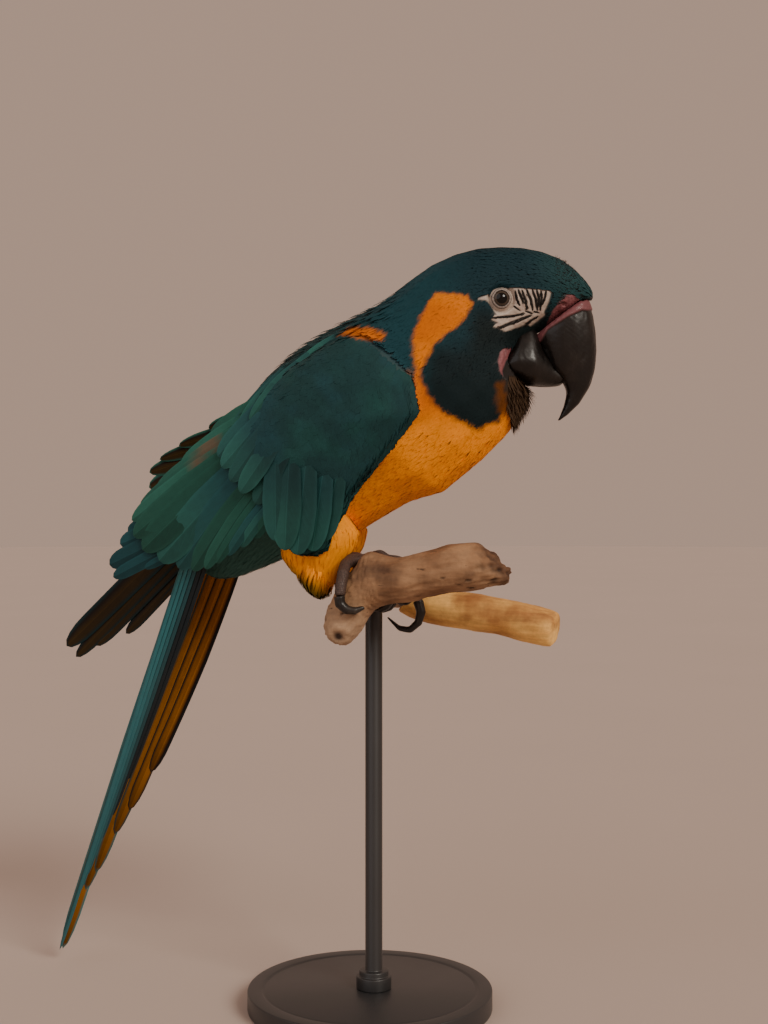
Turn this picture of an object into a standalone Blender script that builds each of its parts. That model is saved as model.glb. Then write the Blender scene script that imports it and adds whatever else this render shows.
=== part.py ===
"""Blue-throated macaw, life size, perched on a cut piece of driftwood on a plain display stand.

Units are metres, +Z is up.  The bird faces +X, its right side faces -Y, and its body lies on the
plane Y = 0, with the head turned a little to its left.  The origin is the centre of the stand's
underside.  Outline points are (x, z) in millimetres, where a bird is easier to read.
"""
import math

import bmesh
import bpy
from mathutils import Matrix, Vector

MM = 0.001
GAP = 0.3 * MM                       # clearance between neighbouring solids
SLIVER = 0.03 * MM                   # points left closer than this by a cut are merged
BODY_GAP = 0.7 * MM                  # the same round the trunk, whose facets differ from its cutter's
EDGE_GAP = 1.3 * MM                  # the same along slanting edges, round the bill and the coverts

# ---- driving dimensions -----------------------------------------------------------------------
BODY_SIDES = 20                      # points round one cross-section of the body
RING_SPACING = 0.75                  # between cross-sections, counted in rows of BODY
HEAD_YAW = math.radians(15.0)        # the head's turn to the bird's left
UPPER_FULLNESS, LOWER_FULLNESS = 0.88, 1.16   # under 1 is boxier than an ellipse, over 1 keeled
YAW_PIVOT = Vector((60, 0, 0)) * MM
YAW_SECTIONS = (6.0, 11.0)           # the turn grows between these body sections

EYE_RADIUS = 8.6 * MM
EYE_POSITION = (97, 502)             # in the head's own plane
EYE_OFFSET = 20.6 * MM               # eye centre from that plane

FOOT_OFFSET = 21.0                   # each foot from the body's middle plane, mm
PERCH_AXIS = (3.0, 303.0)            # centre of the gripped log, mm
PERCH_RADIUS = 18.0

BASE_RADIUS = 88 * MM
BASE_THICKNESS = 14 * MM
BASE_BEVEL = 2.5 * MM
ROD_RADIUS = 6 * MM
ROD_TOP = 292 * MM

EYE_SEGMENTS, EYE_RINGS = 14, 8
BILL_SIDES = 12
COVERT_COLUMNS = 8
LIMB_SIDES = 12
THIGH_SIDES = 10
TOE_SIDES = 7
TOE_STEPS = 5

# Body sections from the tail root to the forehead:
# (back point, breast point, half width, widest level as a fraction from breast to back).
BODY = [
    ((-153, 322), (-124, 307), 10, 0.55),
    ((-141, 352), (-103, 309), 22, 0.55),
    ((-126, 388), (-77, 320), 33, 0.56),
    ((-108, 419), (-44, 329), 43, 0.57),
    ((-86, 447), (-9, 340), 48, 0.58),
    ((-58, 471), (23, 361), 50.5, 0.58),
    ((-26, 489), (56, 370), 51, 0.57),
    ((0, 500), (92, 399), 47, 0.55),
    ((17, 508), (107, 416), 42, 0.54),
    ((34, 521), (115, 430), 37, 0.56),
    ((53, 533), (118, 441), 32.5, 0.60),
    ((76, 540.5), (111, 450), 29.5, 0.62),
    ((98, 542), (107, 460), 27, 0.61),
    ((118, 540), (111, 471), 25, 0.59),
    ((136, 534), (120, 479.5), 21.5, 0.56),
    ((150, 524), (131, 487), 17, 0.52),
    ((159, 513), (142, 494.5), 11.5, 0.5),
    ((163, 505.5), (153, 500), 5, 0.5),
]
TRUNK_SPAN = (0.0, 7.5)              # each piece runs between two section numbers
NECK_SPAN = (7.5, 10.5)
HEAD_SPAN = (10.5, 17.0)
WING_BED = (0.0, 9.75)               # the length of body that wings, tail and thighs lie against

# Bill sections: (ridge point, cutting-edge point, half width, widest level).
UPPER_BILL = [
    ((157, 505), (119, 476), 15.5, 0.45),
    ((161, 494), (123, 468), 16, 0.4),
    ((163, 481), (127, 461), 15, 0.35),
    ((163.5, 468), (131, 454), 13, 0.3),
    ((162.5, 456), (138, 449), 10, 0.3),
    ((159, 444), (142.5, 440), 6.8, 0.4),
    ((151.5, 432), (140.5, 430), 4.2, 0.5),
    ((143, 424), (138, 423), 2.1, 0.5),
    ((137.5, 420.2), (136.3, 420), 0.6, 0.5),
]
LOWER_BILL = [
    ((98.5, 461), (97, 454), 14.5, 0.5),
    ((102.3, 467), (102, 449), 20, 0.5),
    ((109, 473.6), (110, 446.2), 21.5, 0.5),
    ((118.6, 474.4), (121, 444.6), 19.4, 0.5),
    ((127.6, 467.2), (131, 444.4), 15.4, 0.42),
    ((135.4, 457.6), (139, 445.4), 10.8, 0.42),
    ((144.2, 450.2), (145.4, 447.2), 5.2, 0.5),
]

# Each wing's side view is swung back about the shoulder by its own angle.
SHOULDER = (15.0, 472.0)
WING_SWING = {"right": 0.0, "left": math.radians(8)}

# The folded wing's shield of coverts, from shoulder to lower end:
# (front point, rear point, least distance from the middle plane, thickness).
COVERTS = [
    ((10, 479), (-8, 477), 30, 3),
    ((29, 467), (-46, 457), 34, 5),
    ((50, 448), (-80, 435), 37, 7),
    ((55, 423), (-94, 411), 40, 8),
    ((34, 399), (-90, 390), 43, 8.5),
    ((8, 371), (-68, 369), 46, 8),
    ((-8, 346), (-52, 348), 47, 7),
    ((-14, 331), (-47, 335), 47, 5.5),
    ((-24, 325), (-38, 326), 46, 3.5),
]
COVERT_EDGE = 0.8                    # thickness of the shield at its front and rear edge, mm
COVERT_DEPTH = 5.0                   # how far it reaches into the flank, mm

# Fans of flight feathers: root points and tip points as (x, y, z) for the bird's right side.
SECONDARY_ROOTS = [(-48, -52, 360), (-60, -54, 376), (-68, -54, 394), (-70, -50, 414), (-58, -44, 436)]
SECONDARY_TIPS = [(-68, -49, 338), (-92, -44, 325), (-114, -38, 315), (-140, -32, 315),
                  (-172, -29, 328), (-182, -28, 350), (-160, -29, 375), (-112, -34, 412)]
PRIMARY_ROOTS = [(-96, -33, 346), (-112, -31, 366)]
PRIMARY_TIPS = {
    "right": [(-168, -26, 318), (-200, -24, 311), (-197, -24, 328), (-188, -24, 342)],
    "left": [(-158, -20, 260), (-185, -19, 230), (-210, -18, 216), (-227, -17, 204), (-237, -17, 211)],
}
SECONDARY_COUNT = 9
PRIMARY_COUNT = {"right": 4, "left": 5}

# Tail: a steep tent of two halves, six graduated feathers in each.
TAIL_ROOT = Vector((-153, 0, 322)) * MM
TAIL_TIP = Vector((-265, 0, 11)) * MM
TAIL_SLOPE = math.radians(54)        # each half's fall from the ridge
TAIL_ROOT_WIDTH = 44 * MM
TAIL_TIP_WIDTH = 12 * MM
TAIL_SPLAY = 3 * MM                  # how far the outer feathers bow outward at half length
TAIL_STEPS = (0, 52, 68, 102, 124, 158)     # how much shorter each feather is, mm

# Thigh: (x, z) centres with half sizes along x and y, from inside the belly to the ankle.
THIGH = [
    ((-44, 356), 20, 18),
    ((-40, 336), 16, 16),
    ((-34, 318), 12, 12),
    ((-29, 304), 8.5, 8.5),
    ((-26, 298), 4, 4),
]
THIGH_OFFSET = 26.0
SHANK_LINE = [(-26, 24, 318, 4.6), (-10, 22.5, 321.6, 4.8), (6, 21, 325.2, 5.2)]   # ankle to sole

# Toes wrap round the log.  Angles in degrees seen from the bird's right, with 90 on top; sideways
# places and radii in mm at the toe's root and tip; lift is the tip's extra distance from the log;
# splay turns the whole toe about the foot; the claw goes on along a ring of its own.
TOES = {
    "inner_front": dict(start=94, end=-28, out=(-3, -9), radius=(4.3, 3.3), claw=(-28, 130, 10)),
    "outer_front": dict(start=94, end=-24, out=(3, 8), radius=(4.5, 3.4), claw=(-24, 130, 10)),
    "inner_rear": dict(start=92, end=195, out=(-2, -8), radius=(4.0, 3.1), claw=(195, 120, 10)),
    "outer_rear": dict(start=90, end=196, out=(3, 12), radius=(4.4, 3.3), claw=(196, 135, 11)),
}
TOE_CHANGES = {
    ("right", "outer_front"): dict(out=(2, -1)),
    ("left", "outer_front"): dict(out=(2, -2)),
    ("left", "inner_front"): dict(lift=10, end=-20, claw=(34, 165, 14)),
}

# The right foot's outer rear toe and its claw run round the log's end instead: (x, y, z, radius).
END_TOE = [(3, -21, 324.8, 4.6), (-1, -31, 323, 4.5), (-1, -42, 319.5, 4.3), (1, -50.5, 314, 4.2),
           (1.8, -56, 306.5, 4.0), (1.8, -58, 299, 3.8)]
END_CLAW = [(1.7, -58.2, 298.4, 3.6), (2.2, -58.2, 293.6, 3.3), (6.5, -57.5, 289.6, 2.8),
            (12, -56, 288.8, 2.1), (17.5, -53.5, 291, 0.8)]

# Driftwood: (x, y, z, radius) along each limb.
LOG_LINE = [(5, -30, 300, 13), (4, -14, 302.5, 17.8), (3, 10, 303, 18), (3, 34, 303, 18),
            (2, 52, 301, 17), (1, 62, 299, 15)]
LIMB_LINE = [(-8, -44, 266, 9), (-5, -42, 272, 12.5), (-1, -40, 283, 15), (5, -37, 297, 17),
             (20, -37, 306, 17), (37, -37, 308, 16.5), (60, -36, 315, 16), (76, -35, 319, 18),
             (91, -33, 319.5, 17.5), (102, -32, 316, 13.5), (116, -31, 311.5, 6)]
BRANCH_LINE = [(8, 44, 293, 12), (30, 42, 286, 13.5), (60, 41, 284, 14.5), (95, 40, 279, 14.5),
               (128, 39, 272, 14)]


# ---- helpers ----------------------------------------------------------------------------------
def clear_scene():
    for thing in list(bpy.data.objects):
        bpy.data.objects.remove(thing, do_unlink=True)


def make_collection(name):
    collection = bpy.data.collections.new(name)
    bpy.context.scene.collection.children.link(collection)
    return collection


def make_material(name, colour, roughness, metallic=0.0):
    material = bpy.data.materials.new(name)
    material.use_nodes = True
    shader = material.node_tree.nodes["Principled BSDF"]
    shader.inputs["Base Color"].default_value = (*colour, 1)
    shader.inputs["Roughness"].default_value = roughness
    shader.inputs["Metallic"].default_value = metallic
    return material


def add_mesh(name, points, faces, collection, material=None):
    """A mesh object with outward faces from points in metres."""
    mesh = bpy.data.meshes.new(name)
    mesh.from_pydata([tuple(p) for p in points], [], faces)
    form = bmesh.new()
    form.from_mesh(mesh)
    bmesh.ops.recalc_face_normals(form, faces=form.faces)
    form.to_mesh(mesh)
    form.free()
    mesh.shade_smooth()
    if material:
        mesh.materials.append(material)
    thing = bpy.data.objects.new(name, mesh)
    collection.objects.link(thing)
    return thing


def add_tube(name, rings, collection, material=None):
    """A closed skin over rings of equal count, with a fan of triangles at each end."""
    count = len(rings[0])
    points = [p for ring in rings for p in ring]
    faces = []
    for k in range(len(rings) - 1):
        for i in range(count):
            j = (i + 1) % count
            faces.append((k * count + i, k * count + j, (k + 1) * count + j, (k + 1) * count + i))
    for ring, start in ((rings[0], 0), (rings[-1], (len(rings) - 1) * count)):
        points.append(sum(ring, Vector()) / count)
        hub = len(points) - 1
        faces += [(start + i, start + (i + 1) % count, hub) for i in range(count)]
    return add_mesh(name, points, faces, collection, material)


def as_cutter(thing):
    thing.hide_render = True
    thing.display_type = "WIRE"
    return thing


def combine(thing, other, operation):
    modifier = thing.modifiers.new(operation.title(), "BOOLEAN")
    modifier.operation = operation
    modifier.solver = "EXACT"
    modifier.object = other


def merge_slivers(things):
    for thing in things:
        if thing.modifiers:
            weld = thing.modifiers.new("Slivers", "WELD")
            weld.merge_threshold = SLIVER


def flatten(row):
    return [v for item in row for v in (flatten(item) if isinstance(item, (tuple, list)) else [item])]


def along(rows, u):
    """Smooth blend of the numbers in rows at position u, counted in rows."""
    last = len(rows) - 1
    k = min(max(int(math.floor(u)), 0), last - 1)
    t = u - k
    here, there = flatten(rows[k]), flatten(rows[k + 1])
    before = flatten(rows[k - 1]) if k > 0 else [2 * a - b for a, b in zip(here, there)]
    after = flatten(rows[k + 2]) if k + 2 <= last else [2 * b - a for a, b in zip(here, there)]
    return [
        0.5 * (2 * b + (c - a) * t + (2 * a - 5 * b + 4 * c - d) * t * t
               + (3 * b - a - 3 * c + d) * t ** 3)
        for a, b, c, d in zip(before, here, there, after)
    ]


def smooth_step(low, high, value):
    t = min(max((value - low) / (high - low), 0.0), 1.0)
    return t * t * (3 - 2 * t)


def turned(point, yaw):
    return Matrix.Rotation(yaw, 3, "Z") @ (point - YAW_PIVOT) + YAW_PIVOT


# ---- body -------------------------------------------------------------------------------------
def section_ring(rows, u, sides, yaw, grow=0.0):
    """Egg-shaped ring between a back point and a breast point, turned with the head."""
    back_x, back_z, front_x, front_z, half_width, level = along(rows, u)
    back = Vector((back_x, 0, back_z)) * MM
    front = Vector((front_x, 0, front_z)) * MM
    height = (back - front).length
    up = (back - front) / height
    ring = []
    for i in range(sides):
        angle = 2 * math.pi * i / sides
        rise = math.sin(angle)
        reach = (1 - level) if rise > 0 else level
        lift = (level + reach * rise) * height + grow * rise
        side = math.cos(angle)
        fullness = UPPER_FULLNESS if rise > 0 else LOWER_FULLNESS
        across = math.copysign(abs(side) ** fullness, side) * (half_width * MM + grow)
        ring.append(turned(front + up * lift + Vector((0, across, 0)), yaw))
    return ring


def body_side(x, z):
    """Half width of the body, mm, at the point (x, z) of its side view."""
    def miss(u):
        back_x, back_z, front_x, front_z, _, _ = along(BODY, u)
        return (back_x - front_x) * (z - front_z) - (back_z - front_z) * (x - front_x)

    low, high = 0.0, 10.0
    for _ in range(24):
        middle = (low + high) / 2
        low, high = (middle, high) if miss(middle) * miss(0.0) > 0 else (low, middle)
    back_x, back_z, front_x, front_z, half_width, level = along(BODY, low)
    up_x, up_z = back_x - front_x, back_z - front_z
    height = ((x - front_x) * up_x + (z - front_z) * up_z) / (up_x ** 2 + up_z ** 2)
    reach = (1 - level) if height > level else level
    rise = min(abs(height - level) / reach, 1.0)
    fullness = UPPER_FULLNESS if height > level else LOWER_FULLNESS
    return half_width * math.sqrt(1 - rise * rise) ** fullness


def body_yaw(u):
    return HEAD_YAW * smooth_step(*YAW_SECTIONS, u)


def ring_normal(ring):
    quarter = len(ring) // 4
    across = ring[0] - ring[2 * quarter]
    up = ring[quarter] - ring[3 * quarter]
    return up.cross(across).normalized()


def push_ends(rings, distance):
    """Move the first and last ring outward along the line of ring centres."""
    for end, inner in ((0, 1), (-1, -2)):
        away = (sum(rings[end], Vector()) - sum(rings[inner], Vector())).normalized() * distance
        rings[end] = [p + away for p in rings[end]]


def add_body_piece(name, span, collection, material=None, start_gap=False, grow=0.0):
    """Length of the body between two section numbers."""
    start, end = span
    count = round((end - start) / RING_SPACING)
    rings = []
    for k in range(count + 1):
        u = start + (end - start) * k / count
        rings.append(section_ring(BODY, u, BODY_SIDES, body_yaw(u), grow))
    if start_gap:
        shift = ring_normal(rings[0]) * GAP
        if shift.dot(sum(rings[1], Vector()) - sum(rings[0], Vector())) < 0:
            shift = -shift
        rings[0] = [p + shift for p in rings[0]]
    push_ends(rings, grow)
    return add_tube(name, rings, collection, material)


def add_bill(name, rows, collection, material=None, grow=0.0):
    rings = [section_ring(rows, k, BILL_SIDES, HEAD_YAW, grow) for k in range(len(rows))]
    push_ends(rings, grow)
    return add_tube(name, rings, collection, material)


def add_eye(name, side, radius, collection, material=None):
    x, z = EYE_POSITION
    centre = turned(Vector((x * MM, side * EYE_OFFSET, z * MM)), HEAD_YAW)
    bpy.ops.mesh.primitive_uv_sphere_add(segments=EYE_SEGMENTS, ring_count=EYE_RINGS, radius=radius,
                                         location=centre)
    eye = bpy.context.object
    eye.name = name
    eye.rotation_euler = (math.radians(90), 0, HEAD_YAW)
    move_to(eye, collection)
    if material:
        eye.data.materials.append(material)
    eye.data.shade_smooth()
    return eye


def move_to(thing, collection):
    for owner in list(thing.users_collection):
        owner.objects.unlink(thing)
    collection.objects.link(thing)


# ---- wings and tail ---------------------------------------------------------------------------
def swung(x, z, angle):
    """Side-view point swung back about the shoulder."""
    dx, dz = x - SHOULDER[0], z - SHOULDER[1]
    return (SHOULDER[0] + dx * math.cos(angle) + dz * math.sin(angle),
            SHOULDER[1] - dx * math.sin(angle) + dz * math.cos(angle))


def add_coverts(name, side, swing, collection, material=None, grow=0.0):
    """Shield of coverts: a shell over the flank, thin at its edges."""
    rings = []
    for row in COVERTS:
        front_x, front_z, rear_x, rear_z, least, thick = flatten(row)
        outside, inside = [], []
        for i in range(COVERT_COLUMNS):
            t = i / (COVERT_COLUMNS - 1)
            rim = COVERT_EDGE + (thick - COVERT_EDGE) * (1 - (2 * t - 1) ** 4)
            x = front_x + (rear_x - front_x) * t
            z = front_z + (rear_z - front_z) * t
            x, z = swung(x, z, swing)
            lie = math.hypot(body_side(x, z), least / 2)
            y = max(lie, least) + rim + grow / MM
            outside.append(Vector((x, side * y, z)) * MM)
            inside.append(Vector((x, side * (y - rim - COVERT_DEPTH - 2 * grow / MM), z)) * MM)
        along_row = (outside[-1] - outside[0]).normalized()
        for line in (outside, inside):
            line[0] = line[0] - along_row * grow
            line[-1] = line[-1] + along_row * grow
        rings.append(outside + inside[::-1])
    return add_tube(name, rings, collection, material)


def add_fan(name, roots, tips, collection, material, thickness, step, bow, rows=4, mirror=1, splay=0.0):
    """One closed plate of overlapping feathers, with a rounded tip on each.

    roots and tips are points in metres.  step is the rise of each feather's free edge over its
    neighbour, bow lifts the middle of the plate along its normal, and splay widens it there.
    """
    count = len(roots)
    axes = [(t - r).normalized() for r, t in zip(roots, tips)]
    lengths = [(t - r).length for r, t in zip(roots, tips)]
    middles = [(r + t) / 2 for r, t in zip(roots, tips)]
    across = []
    for i in range(count):
        spread = middles[min(i + 1, count - 1)] - middles[max(i - 1, 0)]
        across.append((spread - axes[i] * spread.dot(axes[i])).normalized())
    columns = []                              # (root, end, normal, lift, outward bulge)
    for i in range(count):
        left = tips[max(i - 1, 0)] if i > 0 else tips[0] - (tips[1] - tips[0])
        right = tips[min(i + 1, count - 1)] if i < count - 1 else tips[i] + (tips[i] - tips[i - 1])
        half = min(abs((right - left).dot(across[i])) / 4, 14 * MM)
        half = max(half, 2.2 * MM)
        root_left = roots[i - 1] if i > 0 else 2 * roots[0] - roots[1]
        root_right = roots[i + 1] if i < count - 1 else 2 * roots[i] - roots[i - 1]
        normal = axes[i].cross(across[i]) * mirror
        if i == 0:
            columns.append(((roots[0] + root_left) / 2,
                            roots[0] + axes[0] * (lengths[0] - 2.2 * half) - across[0] * half,
                            normal, -0.5, Vector()))
        for s in (-0.5, 0.5):
            setback = half * 1.5 * (1 - math.sqrt(1 - s * s))
            end = roots[i] + axes[i] * (lengths[i] - setback) + across[i] * half * s
            neighbour = root_left if s < 0 else root_right
            root = roots[i] + (neighbour - roots[i]) * abs(s) / 2
            columns.append((root, end, normal, s / 2, across[i] * splay * (i + 0.5 + s / 2) / count))
        if i < count - 1:
            reach = min(lengths[i], lengths[i + 1]) - 1.6 * half
            here = roots[i] + axes[i] * reach + across[i] * half
            there = roots[i + 1] + axes[i + 1] * reach - across[i + 1] * half
            columns.append(((roots[i] + roots[i + 1]) / 2, (here + there) / 2, normal, 0.0,
                            across[i] * splay * (i + 1) / count))
        else:
            columns.append(((roots[i] + root_right) / 2,
                            roots[i] + axes[i] * (lengths[i] - 2.2 * half) + across[i] * half,
                            normal, 0.5, across[i] * splay))
    top, bottom = [], []
    for root, end, normal, lift, bulge in columns:
        for k in range(rows + 1):
            t = k / rows
            rise = bow * 4 * t * (1 - t) + step * lift * smooth_step(0, 0.35, t)
            thin = thickness * (1 - 0.45 * t)
            middle = root.lerp(end, t) + normal * rise + bulge * 4 * t * (1 - t)
            top.append(middle + normal * thin / 2)
            bottom.append(middle - normal * thin / 2)
    height = rows + 1
    size = len(top)
    faces = []
    for c in range(len(columns) - 1):
        for k in range(rows):
            a, b = c * height + k, (c + 1) * height + k
            faces.append((a, a + 1, b + 1, b))
            faces.append((size + a, size + b, size + b + 1, size + a + 1))
    rim = [c * height for c in range(len(columns))]
    rim += [(len(columns) - 1) * height + k for k in range(1, height)]
    rim += [c * height + rows for c in range(len(columns) - 2, -1, -1)]
    rim += [k for k in range(rows - 1, 0, -1)]
    for a, b in zip(rim, rim[1:] + rim[:1]):
        faces.append((a, b, size + b, size + a))
    return add_mesh(name, top + bottom, faces, collection, material)


def fan_points(line, count, side, swing):
    points = []
    for i in range(count):
        x, y, z = along(line, (len(line) - 1) * i / (count - 1))
        x, z = swung(x, z, swing)
        points.append(Vector((x, -side * y, z)) * MM)
    return points


def add_tail_half(name, side, collection, material):
    axis = (TAIL_TIP - TAIL_ROOT).normalized()
    down = Vector((0, 1, 0)).cross(axis)                # towards the belly side of the tail
    if down.x < 0:
        down = -down
    fall = down * math.sin(TAIL_SLOPE) + Vector((0, side * math.cos(TAIL_SLOPE), 0))
    length = (TAIL_TIP - TAIL_ROOT).length
    offset = Vector((0, side * 1.6 * MM, 0))
    roots, tips = [], []
    feathers = len(TAIL_STEPS)
    for i, short in enumerate(TAIL_STEPS):
        spread = (i + 0.5) / feathers
        reach = length - short * MM
        width = TAIL_ROOT_WIDTH + (TAIL_TIP_WIDTH - TAIL_ROOT_WIDTH) * reach / length
        roots.append(TAIL_ROOT + offset + fall * TAIL_ROOT_WIDTH * spread)
        tips.append(TAIL_ROOT + offset + axis * reach + fall * (width * spread))
    return add_fan(name, roots, tips, collection, material, 2.2 * MM, 1.2 * MM, 0.0, 6, side,
                   TAIL_SPLAY)


# ---- legs, feet and driftwood -----------------------------------------------------------------
def round_tube(name, points, radii, sides, collection, material=None, grow=0.0):
    """Tube with a radius at each point, its rings square to the line."""
    rings = []
    side_hint = Vector((0, 0, 1))
    for k, (point, radius) in enumerate(zip(points, radii)):
        before, after = points[max(k - 1, 0)], points[min(k + 1, len(points) - 1)]
        axis = (after - before).normalized()
        if k == 0 and abs(axis.z) > 0.8:
            side_hint = Vector((1, 0, 0))
        first = (side_hint - axis * side_hint.dot(axis)).normalized()
        side_hint = first
        second = axis.cross(first)
        reach = radius + grow
        rings.append([point + reach * (first * math.cos(a) + second * math.sin(a))
                      for a in (2 * math.pi * i / sides for i in range(sides))])
    push_ends(rings, grow)
    return add_tube(name, rings, collection, material)


def add_limb(name, line, collection, material=None, grow=0.0):
    points = [Vector(row[:3]) * MM for row in line]
    radii = [row[3] * MM for row in line]
    return round_tube(name, points, radii, LIMB_SIDES, collection, material, grow)


def add_thigh(name, side, collection, material=None, grow=0.0):
    rings = []
    for (x, z), half_x, half_y in THIGH:
        centre = Vector((x, side * THIGH_OFFSET, z)) * MM
        rings.append([centre + Vector(((half_x * MM + grow) * math.cos(a), (half_y * MM + grow) * math.sin(a), 0))
                      for a in (2 * math.pi * i / THIGH_SIDES for i in range(THIGH_SIDES))])
    push_ends(rings, grow)
    return add_tube(name, rings, collection, material)


def toe_lines(word, side, label):
    """Centre line and radii of a toe and of its claw, wrapped round the log."""
    if (word, label) == ("right", "outer_rear"):
        return tuple(part for line in (END_TOE, END_CLAW)
                     for part in ([Vector(row[:3]) * MM for row in line], [row[3] * MM for row in line]))
    toe = dict(splay=0, lift=0)
    toe.update(TOES[label])
    toe.update(TOE_CHANGES.get((word, label), {}))
    root_radius, tip_radius = toe["radius"]
    turn = 1 if toe["end"] > toe["start"] else -1
    foot = Vector((PERCH_AXIS[0], side * FOOT_OFFSET, PERCH_AXIS[1]))
    splay = Matrix.Rotation(-side * turn * math.radians(toe["splay"]), 3, "Z")
    toe_points, toe_radii = [], []
    for k in range(TOE_STEPS + 1):
        t = k / TOE_STEPS
        angle = math.radians(toe["start"] + (toe["end"] - toe["start"]) * t)
        radius = root_radius + (tip_radius - root_radius) * t
        reach = PERCH_RADIUS + 0.2 + radius + toe["lift"] * t * t
        out = toe["out"][0] + (toe["out"][1] - toe["out"][0]) * t
        spot = Vector((reach * math.cos(angle), side * out, reach * math.sin(angle)))
        toe_points.append((foot + splay @ spot) * MM)
        toe_radii.append(radius * MM)
    begin, claw_turn, ring = toe["claw"]
    first = math.radians(begin)
    sideways = (toe_points[-1] - toe_points[-2]) * 0.3
    sideways = Vector((0, sideways.y, 0)) if not toe["splay"] else Vector()
    start = toe_points[-1] + (toe_points[-1] - toe_points[-2]).normalized() * GAP
    claw_points, claw_radii = [], []
    for k in range(TOE_STEPS + 1):
        t = k / TOE_STEPS
        bend = first + turn * math.radians(claw_turn) * t
        step = Vector((math.cos(bend) - math.cos(first), 0, math.sin(bend) - math.sin(first)))
        claw_points.append(start + splay @ step * ring * MM + sideways * k)
        claw_radii.append((tip_radius * 0.95 * (1 - t) ** 0.8 + 0.35) * MM)
    return toe_points, toe_radii, claw_points, claw_radii


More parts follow.
